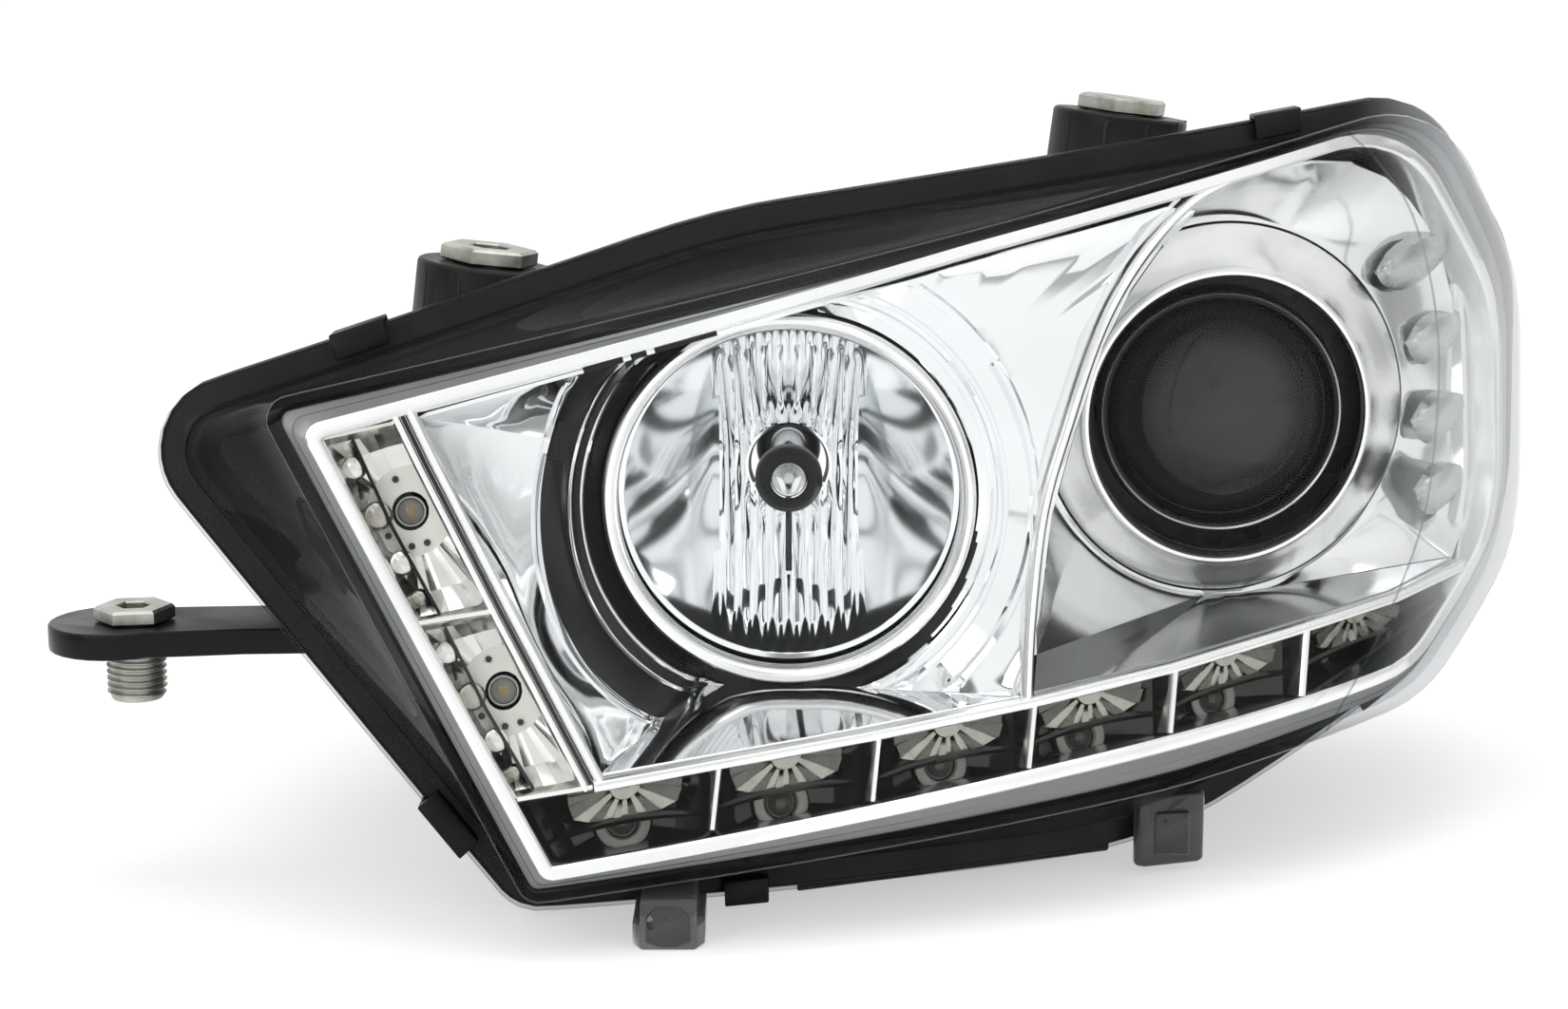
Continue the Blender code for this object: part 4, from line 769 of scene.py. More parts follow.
def make_high_surround():
    near = TRIM_DEPTH
    blade = [(p.x, p.y, near) for p in beside(BLADE, 3.0)[1:-1]]
    corners = [(-104, 153.8, near), (-52, 166.8, near), (-20, 174.8, near), (14, 183.2, near), (68, 196.4, near),
               (108, 205.2, near), (121, 208.1, near)]
    left, right = (Vector((HIGH[0] + x, 30.0, HIGH[1] - 58.0)) for x in (-27, 4))
    corners += blade + [(72, 67.5, near), right, left, (-51, 52.8, near), (-77, 100, near)]
    edge = dense_boundary(corners)
    start_r = 57.0
    base = circle_in_step(HIGH, edge, start_r, 29.0)
    loops = [base]
    bands = ((57.8, 0.0), (58.5, 0.0), (59.2, 0.0), (59.9, 0.0), (60.6, 0.0), (61.2, -1.6), (62.3, -1.6), (62.9, 0.0),
             (64.2, 0.3), (64.7, -1.4), (65.6, -1.4), (66.2, 0.6), (72.4, 0.8), (73.2, -1.6), (74.6, -1.6),
             (75.4, 0.0), (80, 0.6))
    for radius, lip in bands:
        loop = []
        for out, start in zip(edge, base):
            reach = max(math.hypot(out.x - HIGH[0], out.z - HIGH[1]), 57.8)
            part = (radius - start_r) / (reach - start_r)
            fade = min(max((0.95 - part) / 0.15, 0.0), 1.0)
            part = min(part, 0.93 + 0.0008 * radius)
            loop.append(start.lerp(out, part) + Vector((0, lip * fade, 0)))
        loops.append(loop)
    loops += sagging(loops[-1], edge, ((0.3, 0.35), (0.6, 0.45), (0.85, 0.3), (1.0, 0.0)), 30, 0.12)
    dish = thicken("dish", loops, chrome, 1.2)
    # Faces in the crescents left of and below the ring take the near-black chrome: painted dark reflection.
    dish.data.materials.append(painted_dark_reflection)
    middle = ORIGIN + Vector((HIGH[0], 0, HIGH[1])) * MM
    for face in dish.data.polygons:
        out = (face.center - middle) / MM
        radius, turn = math.hypot(out.x, out.z), math.degrees(math.atan2(out.z, out.x)) % 360
        painted_dark_inner_band = radius < 61 - max(turn - 305, 0) * 0.07 and 112 < turn < 350
        painted_dark_outer_bands = 118 < turn < 285 and (62.6 < radius < 64.5 or 65.9 < radius < 73)
        if painted_dark_inner_band or painted_dark_outer_bands:
            face.material_index = 1
    shelf = ledge("shelf", [(-52.5, 53.0, near), (10, 60.5, near), (73, 67.6, near), right, left], shelf_chrome)
    stands_for(merge("high_surround_trim", dish, shelf), "high_beam_surround")


def make_low_surround():
    near = TRIM_DEPTH
    blade = [(p.x, p.y, near) for p in beside(BLADE, -3.0)[-2:0:-1]]
    left = Vector((LOW_BASE[0] - 4, LOW_BASE_Y + 1, 74.0))
    right = Vector((LOW_BASE[0] + 8, LOW_BASE_Y + 2.5, 74.2))
    corners = [left, (78.5, 79, near)] + blade[1:] + [
        (140, 214.5, near), (150, 216.5, near), (172, 219, near), (188, 218, 10), (203, 213, 12), (215, 205, 14),
        (225, 195, 15), (233, 183, 16), (238.5, 170, 16.5), (242, 154, 17), (243.5, 138, 17), (243.5, 120, 17),
        (242, 106, 16), (239, 96, 14), (229, 88.5, 11), right]
    edge = dense_boundary(corners)
    base, lip, lip_out = (circle_in_step(LOW_BASE, edge, radius, LOW_BASE_Y + back, LOW_RING_YAW)
                          for radius, back in ((60.5, 2), (61.2, 1.3), (62.2, 1.7)))
    steps = ((0.15, 0.25), (0.35, 0.4), (0.55, 0.4), (0.75, 0.25), (0.9, 0.1), (1.0, 0.0))
    loops = [base, lip, lip_out] + sagging(lip_out, edge, steps, 50, 0.16)
    dish = thicken("dish", loops, soft_chrome, 1.2)
    front = [(77.5, 68.3, near), (120, 73.6, near), (161, 79.6, near), (200, 84, near), (229, 88.3, 11)]
    back = [left.lerp(right, k / 4) for k in range(5)]
    # The low shelf takes the darker shelf chrome: painted shade.
    shelf = [ledge("shelf", [front[k], front[k + 1], back[k + 1], back[k]], shelf_painted_shade) for k in range(4)]
    shelf.append(ledge("shelf", [front[0], left, (78.5, 79, near)], shelf_painted_shade))
    stands_for(merge("low_surround_trim", dish, *shelf), "projector_surround")


def make_side_ribs():
    """Petal-shaped ribs against a curved rail in front of the side lamp."""
    spine = smooth_path([(228, 206), (236, 190), (240.5, 168), (242, 140), (241.5, 112), (237, 97)], 5)
    pieces = [rail("spine", spine, [(-1.3, 19), (-1.0, 14.8), (0, 13.8), (1.0, 14.8), (1.3, 19)], soft_chrome)]
    for x, z, width, lean in ((221, 186, 15, 10), (230.5, 160, 11, 4), (232, 134, 10.5, 0), (232, 111, 9, -4)):
        across = Vector((math.cos(math.radians(lean)), math.sin(math.radians(lean))))
        down = Vector((across.y, -across.x))
        loops = []
        for t in (-0.99, -0.9, -0.7, -0.4, 0, 0.4, 0.7, 0.9, 0.99):
            full = math.sqrt(1 - t * t)
            middle = Vector((x, z)) + across * (t * width)
            loops.append([skin(*(middle + down * (drop * full)), depth) for drop, depth in (
                (-7.5, 18.5), (-6.0, 17 - 4.5 * full), (0, 16.5 - 4.5 * full), (6.0, 17 - 2.0 * full), (9.5, 19.5),
                (0, 20.5))])
        pieces.append(loft("petal", loops, petal_grey, angle=50))
    ribs = merge("side_ribs", *pieces)
    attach(ribs, "housing")
    stations = []
    for z, inner_x, outer_x in ((190, 213, 231), (170, 219, 239), (155, 220, 241.5), (140, 221, 243), (120, 221, 243),
                                (98, 219, 240)):
        row = []
        for k in range(9):
            t = k / 8
            row.append(Vector((inner_x + (outer_x - inner_x) * t, 160 + 5 * math.cos(math.pi * (t - 0.5)), z)))
        stations.append(row + [p + Vector((0, 1.5, 0)) for p in reversed(row)])
    mirror = loft("signal_mirror", stations, chrome)
    cut(mirror, rod("hole", 5.8, 150, 180, chrome, (TURN_SIGNAL[0], 0, TURN_SIGNAL[1]), segments=32))
    stands_for(mirror, "turn_signal_reflector")


# ---------------------------------------------------------------- LED row
def cell_windows():
    """Each cell's outline on the skin, clockwise, between the bezel's edge and the strip."""
    def floor_at(x):
        if x < 75:
            return 28 + (46.0 - 28) * (x + 65.5) / 140.5
        if x < 204:
            return 46.0 + (61.5 - 46.0) * (x - 75) / 129
        return 61.5 + 0.9 * (x - 204)

    windows = [[(-131.5, 148), (-107, 153), (-82.5, 100), (-104, 96.5)],
               [(-103.5, 95.5), (-82, 98.5), (-54.5, 50), (-75.8, 47.5)],
               [(-75.5, 46), (-53.6, 48.5), (-19.5, 53), (-20.5, 34.2), (-65, 28.5)]]
    marks = [-18.5, 28.5, 76.0, 121.0, 166.0, 222.0]
    for left, right in zip(marks, marks[1:]):
        windows.append([(left + 0.8, strip_at(left) - 0.5), (right - 0.8, strip_at(right) - 0.5),
                        (right - 0.8, floor_at(right)), (left + 0.8, floor_at(left))])
    return windows


def strip_at(x):
    for (ax, az), (bx, bz) in zip(STRIP[3:], STRIP[4:]):
        if x <= bx:
            return az + (bz - az) * (x - ax) / (bx - ax)
    return STRIP[-1][1]


def plate(name, corners, look, thickness=0.8):
    """A thin panel through (x, z, depth) corners."""
    front = [skin(*corner) for corner in corners]
    back = [skin(x, z, depth + thickness) for x, z, depth in corners]
    return loft(name, [front, back], look, angle=None)


def lower_fan(spot, half):
    """Radiating facets under the strip, in painted light and shade, and below them a brow in painted shade."""
    middle = spot[0]

    def at(u, v, depth):
        return (middle + u, strip_at(middle + u) - v, depth)

    pieces = []
    count = 13
    for k in range(count):
        first, second = (math.pi * (k + s) / count for s in (0.01, 0.99))
        # Facets alternate between the lit and the shaded fan chrome: painted light and shade.
        look = fan_painted_shade if k in (0, 1, 3, 5, 9, 11, 12) else fan_bright
        inner, outer = (17.0, 13.6) if k % 2 else (15.6, 15.2)
        corners = []
        for angle, far in ((first, 0), (first, 1), (second, 1), (second, 0)):
            reach = min(17.0, half - 1.5, 9.4 / max(math.sin(angle), 0.2)) if far else 4.9
            corners.append(at(reach * math.cos(angle), 0.8 + reach * math.sin(angle), outer if far else inner))
        pieces.append(plate("facet", corners, look))
    disc = [at(4.7 * math.cos(a), 0.8 + 4.7 * math.sin(a), 14.6) for a in (math.pi * i / 16 for i in range(17))]
    pieces.append(plate("half_disc", disc, fan_bright))
    upper, lower = [], []
    for i in range(15):
        u = (half - 1.2) * (i / 7 - 1)
        rise = 1 - (u / half) ** 2
        upper.append((u, 12.8 - 3.0 * rise))
        lower.append((u, 14.2 - 1.8 * rise))
    loops = [[skin(*at(u, v, 14.0)), skin(*at(u, (v + w) / 2, 13.2)), skin(*at(u, w, 14.4)), skin(*at(u, w, 17.5)),
              skin(*at(u, v, 17.5))] for (u, v), (_, w) in zip(upper, lower)]
    # The dark brow is painted shade.
    pieces.append(loft("brow", loops, smoked_and_painted_dark))
    return pieces


def make_cells():
    """Cups behind the windows: bright in the upright pair, painted dark reflection in the lower row, with a fan of
    facets.
    """
    pieces = []
    for number, (window, spot) in enumerate(zip(cell_windows(), LED_SPOTS)):
        lower = number >= 2
        count = 36
        lengths = [math.dist(window[i], window[(i + 1) % len(window)]) for i in range(len(window))]
        total = sum(lengths)
        rim = []
        for k in range(count):
            wanted = total * k / count
            i = 0
            while wanted > lengths[i]:
                wanted -= lengths[i]
                i += 1
            t = wanted / lengths[i]
            a, b = window[i], window[(i + 1) % len(window)]
            rim.append(Vector((a[0] + (b[0] - a[0]) * t, a[1] + (b[1] - a[1]) * t)))
        centre = Vector(spot)
        hole, disc = (5.9, 7.5) if lower else (5.5, 13.0)
        loops = [on_skin(rim, 8.6)]
        for t, depth in ((0.12, 14.5), (0.5, 20.0)) if lower else ((0.10, 13.5), (0.45, 18.5)):
            loop = []
            for k, p in enumerate(rim):
                away = (p - centre).length
                target = centre + (p - centre).normalized() * min(disc, away * 0.9)
                q = p.lerp(target, t)
                loop.append(skin(q.x, q.y, depth + (0.0 if lower else 0.7 if k // 2 % 2 else -0.7)))
            loops.append(loop)
        for radius, share, depth in ((disc, 0.88, 23.5 if lower else 21.0), (hole, 0.75, 24.3 if lower else 21.4)):
            loops.append(on_skin([centre + (p - centre).normalized() * min(radius, (p - centre).length * share)
                                  for p in rim], depth))
        # In the lower row the cup is painted dark, standing in for dark reflections.
        cup = thicken("cup", loops, smoked_and_painted_dark if lower else cell_bright, 1.0, angle=12)
        pieces.append(cup)
        if lower:
            half = max(abs(window[1][0] - window[0][0]), 40) / 2 if number > 2 else 21
            pieces += lower_fan(spot, min(half, 23.5))
            continue
        cup.data.materials.append(pale)
        middle = ORIGIN + skin(*spot, 21) * MM
        for face in cup.data.polygons:
            if (face.center - middle).length < 13.5 * MM:
                face.material_index = 1
        for dx, dz in ((-4.5, 9.0), (4.6, 8.6), (-6.5, -7.0), (5.0, -9.0), (0.5, -10)):
            spot_axis = skin(*spot, 1) - skin(*spot)
            pieces.append(turned("pin", [(0, -0.4), (0.8, -0.4), (1.0, 0), (1.0, 1.5), (0, 1.5)], dark_metal,
                                 skin(spot[0] + dx, spot[1] + dz, 20.4), spot_axis, 12))
        left_top, left_low = Vector(window[0]), Vector(window[3])
        right_top = Vector(window[1])
        inward = (right_top - left_top) * 0.30
        wall = [left_top + inward, (left_top + left_low) / 2 + inward * 0.8, left_low + inward * 0.9]
        pieces.append(rail("cell_wall", [tuple(p) for p in wall], [(-0.5, 20), (-0.5, 13.5), (0.5, 13.5), (0.5, 20)],
                           smoked_and_painted_dark))
        for share, size, look in ((0.16, 3.6, cell_bright), (0.42, 4.2, fan_bright), (0.68, 3.8, cell_bright),
                                  (0.87, 2.6, fan_bright)):
            at = left_top.lerp(left_low, share) + inward * 0.5
            pieces.append(turned("bump", [(0, -2.2), (size * 0.5, -1.9), (size * 0.85, -1.0), (size, 0.6), (size, 4),
                                          (0, 4)], look, skin(at.x, at.y, 15.5), skin(*spot, 1) - skin(*spot), 20))
    stands_for(merge("led_cups", *pieces), "led_tray")


def make_leds():
    for number, (x, z) in enumerate(LED_SPOTS, 1):
        axis = skin(x, z, 1) - skin(x, z)
        at = skin(x, z, 27.0)
        # The lower LEDs take darker copies of the body, dome and chip finishes: painted shade.
        body, cover, centre = (pale, dome, die) if number < 3 else (led_disc_painted_shade, dome_painted_shade, fan_painted_shade)
        base = turned("base", [(0, -3.6), (4.3, -3.6), (4.6, -3.2), (4.6, -0.6), (0, -0.6)], body, at, axis, 32)
        rim = turned("rim", [(3.7, -3.6), (3.75, -3.9), (3.95, -3.9), (4.0, -3.6)], dark_metal, at, axis, 32)
        chip = turned("chip", [(0, -4.1), (1.8, -4.1), (1.8, -3.5), (0, -3.5)], centre, at, axis, 4, math.radians(45))
        lens = turned("dome", [(0, -7.2), (1.3, -7.0), (2.4, -6.4), (3.2, -5.4), (3.6, -4.3), (3.7, -3.7), (0, -3.7)],
                      cover, at, axis, 32)
        pieces = [base, rim, chip, lens]
        if number > 2:
            halo = [(4.9, -4.0), (5.4, -4.7), (7.4, -5.2), (8.2, -4.9), (8.2, -4.3), (4.9, -3.4)]
            pieces.append(turned("halo", halo, halo_grey, at, axis, 48))
        stands_for(merge(f"led_lamp_{number}", *pieces), f"led_{number}")


# ---------------------------------------------------------------- high beam
def make_high_beam():
    centre = (HIGH[0], 0, HIGH[1])
    ring = [(51.4, 29.5), (51.2, 26.5), (51.6, 24.4), (52.4, 23.2), (53.6, 22.5), (54.8, 22.6), (55.6, 23.3),
            (56.0, 24.6), (56.0, 29.5)]
    stands_for(turned("bright_ring", ring, bright, centre, segments=144), "high_beam_ring")

    rim, hole, half, count = 50.0, 14.0, 22.0, 9

    def bowl_y(r):
        return 38.0 + 52.0 * (rim * rim - r * r) / (rim * rim - hole * hole)

    columns = [-half + 2 * half * k / (count * 6) for k in range(count * 6 + 1)]
    sides = [half + (rim - half) * math.sin(math.pi / 2 * k / 22) for k in range(1, 23)]
    columns = sorted([-s for s in sides] + columns + sides)
    rows = 72
    loops = []
    for x in columns:
        height = math.sqrt(max(rim * rim - x * x, 0.04))
        loop = []
        for k in range(rows + 1):
            z = height * math.sin(math.pi * (k / rows - 0.5))
            y = bowl_y(math.hypot(x, z))
            if abs(x) < half - 0.01:
                phase = (x + half) / (2 * half) * count
                bulge = abs(math.sin(math.pi * phase))
                edge = min(1.0, (rim - math.hypot(x, z)) / 6)
                y -= (0.2 + 1.1 * bulge) * max(edge, 0.0)
            loop.append(Vector((HIGH[0] + x, y, HIGH[1] + z)))
        loops.append(loop)
    points = [p for loop in loops for p in loop]
    size = rows + 1
    faces = [(i * size + k, i * size + k + 1, (i + 1) * size + k + 1, (i + 1) * size + k)
             for i in range(len(columns) - 1) for k in range(rows)]
    bowl = solid("bowl", points, faces, optic, angle=28)
    middle = ORIGIN + Vector(centre) * MM
    with editing(bowl.data) as work:
        inside = [f for f in work.faces if math.hypot(f.calc_center_median().x - middle.x,
                                                      f.calc_center_median().z - middle.z) < 13.2 * MM]
        bmesh.ops.delete(work, geom=inside, context="FACES")
        face_forward(work)
    smooth(add_thickness(bowl, 1.4), 32)
    collar = turned("collar", [(50.2, 37.6), (51.6, 37.2), (52.5, 37.9), (52.5, 46), (37, 80), (37, 123.7),
                               (34, 123.7), (34, 93), (35.4, 80), (50.6, 46)], optic, centre, segments=120)
    neck = turned("neck", [(12.9, 86), (13.6, 86), (13.6, 96), (12.9, 96)], optic, centre, segments=48)
    stands_for(merge("fluted_reflector", bowl, collar, neck), "high_beam_reflector")

    shield = turned("cup", [(5.6, 57.6), (6.4, 57.0), (8.4, 57.2), (9.9, 58.6), (10.5, 60.6), (10.5, 65), (9.9, 65),
                            (9.8, 61), (9.0, 59.4), (7.6, 58.4), (5.6, 58.4)], barrel, centre, segments=64)
    leg = prism("leg", [(HIGH[0] - 1, 91.5), (HIGH[0] + 1, 91.5), (HIGH[0] + 1, 112.1), (HIGH[0] - 1, 112.1)],
                "y", 66, 70, dark_metal)
    stands_for(merge("bulb_shield", shield, bevel(leg, 0.4)), "high_beam_bulb_shield")
    tip = turned("tip", [(0, 59.6), (1.2, 59.7), (1.5, 60.6), (3.4, 61.2), (4.7, 62.6), (5.6, 65), (6, 68), (6, 92),
                         (0, 92)], glass, centre, segments=48)
    core = turned("core", [(0, 61.8), (1.6, 62.0), (2.0, 63), (1.0, 64.5), (0, 64.6)], spring_steel, centre,
                  segments=32)
    coil = rod("filament", 0.8, 76, 82, spring_steel, centre, segments=12)
    halo = turned("halo", [(4.6, 60.2), (5.2, 59.8), (5.6, 60.4), (5.2, 61)], bright, centre, segments=48)
    disc = rod("plate", 12, 91, 92, optic, centre, segments=48)
    base = turned("base", [(0, 92), (12, 92), (12, 94.3), (17, 94.3), (17, 97), (12, 97), (12, 112), (8, 112),
                           (8, 119), (0, 119)], nylon, centre, segments=48)
    stands_for(merge("high_bulb", tip, core, coil, halo, disc, base), "high_beam_bulb")


# ---------------------------------------------------------------- projector
def make_projector():
    profile = [(45.2, -0.6), (45.3, -2.4), (46.0, -3.5), (47.0, -3.6), (47.9, -2.6), (48.3, -1.0), (48.9, 1.2),
               (52.5, 6.0), (56.4, 10.6), (60.0, 14.6), (60.4, 15.5), (59.6, 16.6), (58.5, 17), (47.2, 4.6),
               (45.2, 3)]
    spread = [Vector((math.cos(2 * math.pi * i / 144), 0, math.sin(2 * math.pi * i / 144))) for i in range(144)]
    loops = []
    for radius, back in profile:
        t = back / (LOW_BASE_Y - LOW_RING_Y)
        x = LOW_RING[0] + (LOW_BASE[0] - LOW_RING[0]) * t
        z = LOW_RING[1] + (LOW_BASE[1] - LOW_RING[1]) * t
        loops.append(circle_in_step((x, z), [p + Vector((x, 0, z)) for p in spread], radius, LOW_RING_Y + back,
                                    LOW_RING_YAW))
    stands_for(loft("shroud_ring", loops, bright, ring=True), "projector_shroud_ring")
    centre = (LOW[0], 0, LOW[1])
    height, radius = 16.0, 37.8
    curve = (radius ** 2 + height ** 2) / (2 * height)
    steps = [radius * i / 16 for i in range(17)]
    dome_profile = [(r, 97.0 + curve - math.sqrt(curve ** 2 - r * r)) for r in steps]
    # The lens is drawn opaque and dark with painted light and shade, not as clear glass.
    lens = turned("front_lens", dome_profile + [(radius, 118.0), (0, 118.0)], projector_lens_painted, centre, segments=128)
    stands_for(lens, "projector_lens")
    holder = [(36.9, 110.4), (37.4, 109.7), (39.2, 109.6), (39.8, 110.2), (40.6, 117), (40.6, 119), (46.2, 119),
              (47, 119.6), (47, 123.7), (41.8, 123.7), (41.8, 150), (33.6, 150), (33.6, 124), (37.0, 118.4),
              (38.3, 118.4), (38.3, 111.4), (36.9, 111.4)]
    rim = turned("rim", [(38.4, 109.3), (39.0, 108.8), (39.6, 109.3), (39.6, 109.9), (38.4, 109.9)], bright, centre,
                 segments=128)
    tube = turned("tube", holder, barrel, centre, segments=128)
    stands_for(merge("lens_holder", tube, rim), "projector_lens_holder")
    shade = turned("shade", [(45.0, 98.6), (45.1, 100), (46.4, 104), (50.8, 112.6), (50.2, 113.2), (45.2, 106),
                             (44.6, 99)], barrel, (LOW_RING[0], 0, LOW_RING[1]), segments=96)
    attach(shade, "housing")


# ---------------------------------------------------------------- bushes and clips
def thread(name, centre, axis, root, crest, low, high, pitch, look):
    """A helical thread round the axis, as a closed solid of its own."""
    along = Vector(axis).normalized()
    side = Vector((0, 0, 1)) if abs(along.z) < 0.9 else Vector((1, 0, 0))
    across = along.cross(side).normalized()
    up = across.cross(along)
    turns = (high - low) / pitch - 1
    steps = int(turns * 36)
    loops = []
    for k in range(steps + 1):
        angle = 2 * math.pi * k / 36
        rise = low + pitch * 0.5 + pitch * k / 36
        out = across * math.cos(angle) + up * math.sin(angle)
        fade = min(1.0, k / 12, (steps - k) / 12) + 0.02
        tip = root + (crest - root) * fade
        loops.append([Vector(centre) + along * (rise + dy) + out * r
                      for r, dy in ((root - 0.4, -pitch * 0.48), (tip, -pitch * 0.08), (tip, pitch * 0.08),
                                    (root - 0.4, pitch * 0.48))])
    return loft(name, loops, look, angle=30)


def make_bushes():
    for node, place in (("upper_inner_bush", UPPER_INNER), ("upper_outer_bush", UPPER_OUTER)):
        head = turned("head", [(6.7, 0.3), (14.2, 0.3), (15, 0.9), (15, 4.4), (13.9, 5.2), (7.2, 5.2), (6.7, 4.8)],
                      zinc, place, UP, 6, math.radians(15), angle=20)
        sleeve = turned("sleeve", [(6.7, -26), (10.6, -26), (10.6, 0.6), (6.7, 0.6)], zinc, place, UP, 48)
        spiral = thread("thread", place, UP, 10.4, 11.0, -26, -1, 2.0, zinc)
        stands_for(merge(f"{node}_zinc", head, sleeve, spiral), node)
    place = (*ARM_BUSH, 0)
    head = turned("head", [(5.2, ARM_TOP + 0.3), (11.4, ARM_TOP + 0.3), (12.1, ARM_TOP + 0.9), (12.1, 88.0),
                           (11.2, 88.8), (5.7, 88.8), (5.2, 88.3)], zinc, place, (0, 0, 1), 6, math.radians(20),
                  angle=20)
    sleeve = turned("sleeve", [(5.2, 60), (7.6, 60), (8.0, 60.6), (8.0, 86), (5.2, 86)], zinc, place, (0, 0, 1), 48)
    spiral = thread("thread", place, (0, 0, 1), 7.9, 9.0, 60.2, 84.0, 2.0, zinc)
    stands_for(merge("arm_bush_zinc", head, sleeve, spiral), "inner_arm_bush")


def make_caps():
    """Twist-off caps: a ribbed rim, a raised middle and a bar grip."""
    for node, (x, z), radius in (("high_beam_cap", HIGH, HIGH_CAP_R), ("low_beam_cap", LOW, LOW_CAP_R)):
        neck, top = radius - CAP_NECK, REAR_Y + 2.6
        plug = neck - 0.8
        profile = [(0, top + 9), (plug - 8.4, top + 9), (plug - 7.4, top + 8.6), (plug - 4.2, top + 5.2),
                   (plug - 3.2, top + 5), (radius - 0.6, top + 5), (radius, top + 4.4), (radius, top),
                   (neck + 0.6, top), (plug, top - 2), (plug, REAR_Y - 8), (plug - 2.5, REAR_Y - 8),
                   (plug - 2.5, top - 1), (plug - 9, top + 6), (0, top + 6)]
        disc = turned("disc", profile, black, (x, 0, z), segments=96)
        grip = bevel(block("grip", (x - plug + 10, top + 8, z - 4), (x + plug - 10, top + 19, z + 4), black), 1.2, 3)
        ribs = []
        for k in range(24):
            turn = 2 * math.pi * k / 24
            out, across = Vector((math.cos(turn), math.sin(turn))), Vector((-math.sin(turn), math.cos(turn)))
            corners = [Vector((x, z)) + out * r + across * w for r, w in ((neck + 1, -0.7), (radius - 1, -0.7),
                                                                          (radius - 1, 0.7), (neck + 1, 0.7))]
            ribs.append(prism("rib", [tuple(corner) for corner in corners], "y", top + 4.8, top + 5.7, black))
        stands_for(merge(f"{node}_moulding", disc, grip, *ribs), node)


def make_vents():
    """Breather caps: a domed rubber cap with a grooved skirt on a stem."""
    for number, (x, z) in enumerate(VENTS, 1):
        cap = ((3.1, 0.3), (7.4, 0.3), (8, 0.9), (8, 4.2), (7.5, 4.6), (7.5, 5.4), (8, 5.8), (8, 8.8), (7.4, 10.2),
               (6.2, 11), (0, 11))
        profile = [(0, 212), (3.1, 212)] + [(radius, REAR_Y + back) for radius, back in cap]
        stands_for(turned(f"vent_rubber_{number}", profile, rubber, (x, 0, z), segments=48), f"vent_cap_{number}")


def softened(original, width, look):
    """The same solid with its sharp edges rounded off."""
    piece = place_object(f"{original}_moulding", nodes[original].data.copy())
    piece.data.materials.clear()
    piece.data.materials.append(look)
    with editing(piece.data) as work:
        bmesh.ops.remove_doubles(work, verts=work.verts, dist=0.00002)
        bmesh.ops.dissolve_limit(work, angle_limit=math.radians(1), verts=work.verts, edges=work.edges)
    stands_for(bevel(piece, width, 3, 35), original)


def make_small_mouldings():
    for number in range(1, 6):
        softened(f"lens_clip_{number}", 0.45, black)
    for original, width, look in (("led_driver_module", 1.0, grey), ("levelling_motor", 0.8, black),
                                  ("main_connector", 0.35, black), ("turn_signal_socket", 0.5, black),
                                  ("vertical_adjuster_screw", 0.4, nylon), ("horizontal_adjuster_screw", 0.4, nylon)):
        softened(original, width, look)


# ---------------------------------------------------------------- carried-over CAD nodes
def finish_nodes():
    looks = {"black_plastic": black, "grey_plastic": grey, "white_plastic": nylon, "clear_lens": lens_front,
             "clear_glass": glass, "chrome": chrome, "smoked_chrome": smoked_and_painted_dark, "dark_metal": dark_metal,
             "dark_steel": dark_metal, "spring_steel": spring_steel, "zinc": zinc, "rubber": rubber,
             "bulb_glass": glass, "board": board, "led": die, "amber": amber}
    for name, node in nodes.items():
        if not node.hide_render:
            for k in range(len(node.material_slots)):
                node.material_slots[k].material = looks[SLOT_OF[name]]


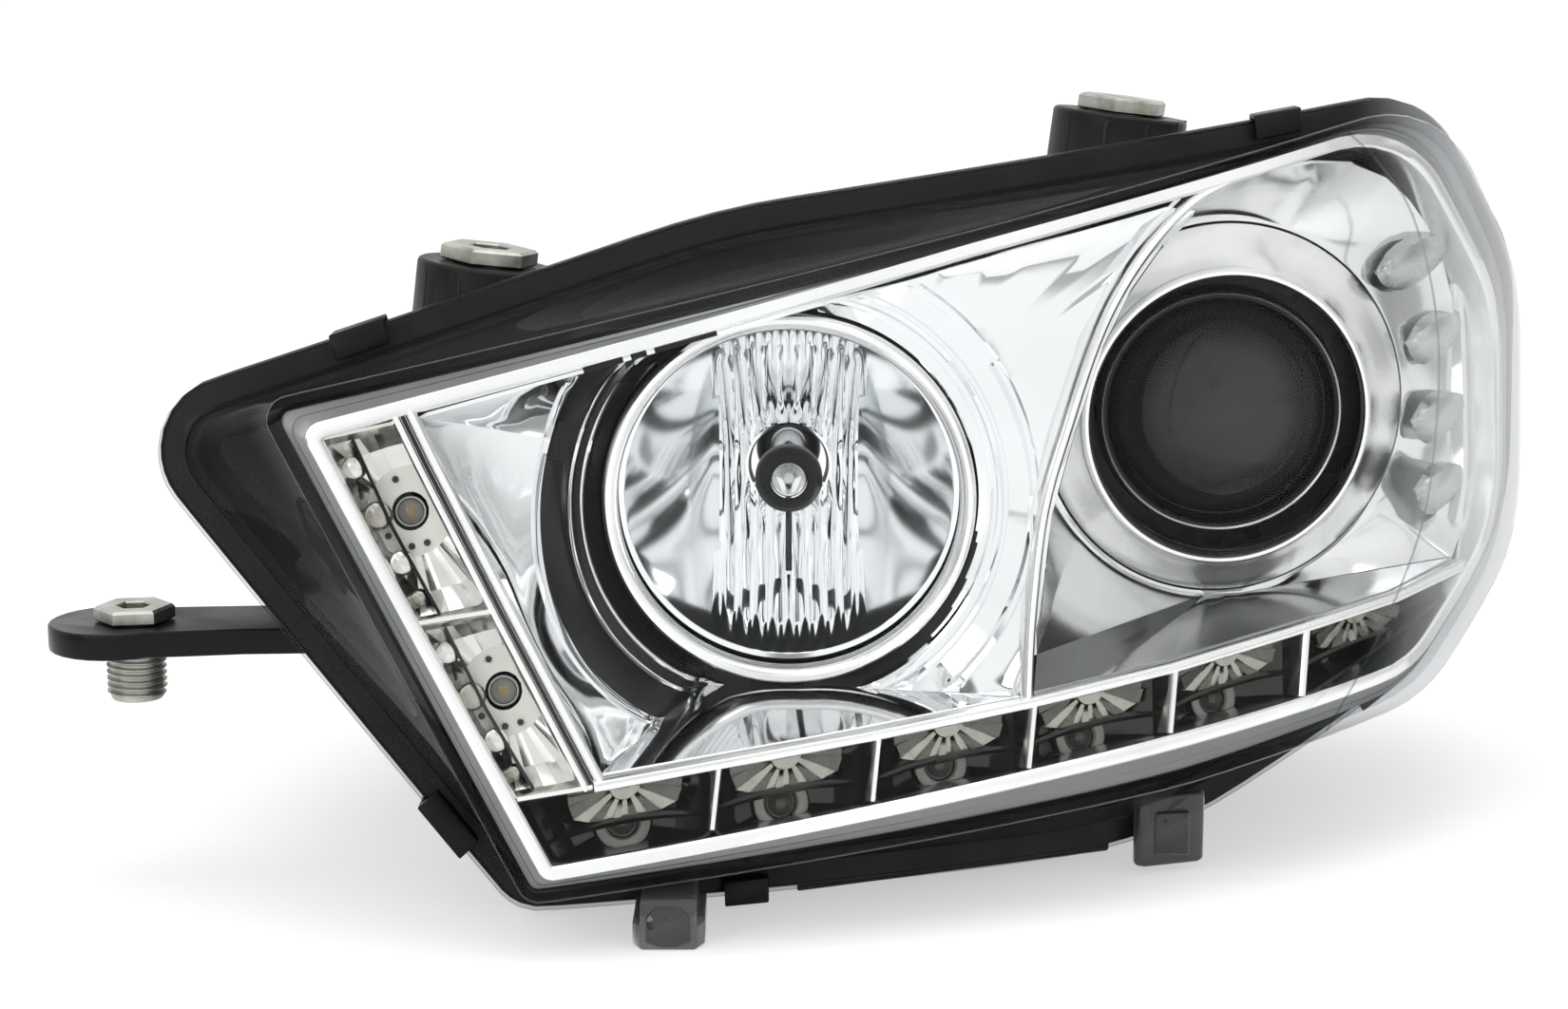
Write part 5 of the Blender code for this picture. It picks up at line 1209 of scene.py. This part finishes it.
# ---------------------------------------------------------------- studio
def make_studio():
    scene = bpy.context.scene
    scene.view_settings.view_transform = "Standard"
    half = 6.0
    mesh = bpy.data.meshes.new("floor")
    corners = [(-half, -half, 0), (half, -half, 0), (half, half, 0), (-half, half, 0)]
    mesh.from_pydata(corners, [], [(0, 1, 2, 3)])
    floor = place_object("floor", mesh)
    paper = material("white_paper", (0.55, 0.55, 0.55), 0.8, mottle=(0.02, 4), specular=0.1)
    tree = paper.node_tree
    feed(tree, tree.nodes["Principled BSDF"], {"Emission Color": (1, 1, 1, 1), "Emission Strength": 0.5})
    mesh.materials.append(paper)

    world = bpy.data.worlds.new("studio")
    scene.world = world
    world.use_nodes = True
    tree = world.node_tree
    direction = tree.nodes.new("ShaderNodeTexCoord").outputs["Generated"]

    def patch(towards, inner, outer, shade):
        """1 away from this direction, and the shade within the inner angle."""
        towards = Vector(towards).normalized()
        dot = shader_node(tree, "VectorMath", {0: direction, 1: towards}, operation="DOT_PRODUCT")
        step = {"Value": dot.outputs["Value"], "From Min": math.cos(math.radians(outer)),
                "From Max": math.cos(math.radians(inner)), "To Min": 1.0, "To Max": shade}
        return shader_node(tree, "MapRange", step, interpolation_type="SMOOTHSTEP").outputs["Result"]

    level = patch((0, -1, 0.28), 3, 5, 0.3)
    for spot in (((-0.9, -0.5, 0.05), 14, 26, 0.08), ((-0.55, -0.6, 0.6), 7, 14, 0.2),
                 ((0.75, -0.55, -0.1), 6, 14, 0.45), ((0.95, 0.1, 0.0), 12, 26, 0.35),
                 ((0.2, -0.5, 0.9), 6, 13, 0.5)):
        level = maths(tree, "MULTIPLY", level, patch(*spot))
    strength = shader_node(tree, "MapRange", {"Value": level, "To Min": 0.0, "To Max": 1.08}).outputs["Result"]
    feed(tree, tree.nodes["Background"], {"Strength": strength, "Color": (1, 1, 1, 1)})

    def lamp(name, place, target, size, power):
        light = bpy.data.lights.new(name, "AREA")
        light.shape = "RECTANGLE"
        light.size, light.size_y = size
        light.energy = power
        made = place_object(name, light)
        made.location = place
        made.rotation_euler = (Vector(target) - Vector(place)).to_track_quat("-Z", "Y").to_euler()

    lamp("top_softbox", (0, -0.2, 1.5), (0, 0, 0.1), (1.2, 0.8), 7)
    lamp("front_left_softbox", (-1.1, -1.2, 0.9), (0, 0, 0.1), (0.5, 0.9), 5)

    camera = bpy.data.cameras.new("camera")
    camera.lens, camera.sensor_width = 67.64, 36.0
    scene.camera = place_object("camera", camera)
    scene.camera.location = ORIGIN + Vector((0, -840, 289)) * MM
    scene.camera.rotation_euler = (math.radians(90 - 11), 0, 0)


make_housing()
make_lens()
make_skirt()
make_seal()
make_bezel()
make_blade()
make_high_surround()
make_low_surround()
make_side_ribs()
make_cells()
make_leds()
make_high_beam()
make_projector()
make_bushes()
make_caps()
make_vents()
make_small_mouldings()
finish_nodes()
make_studio()
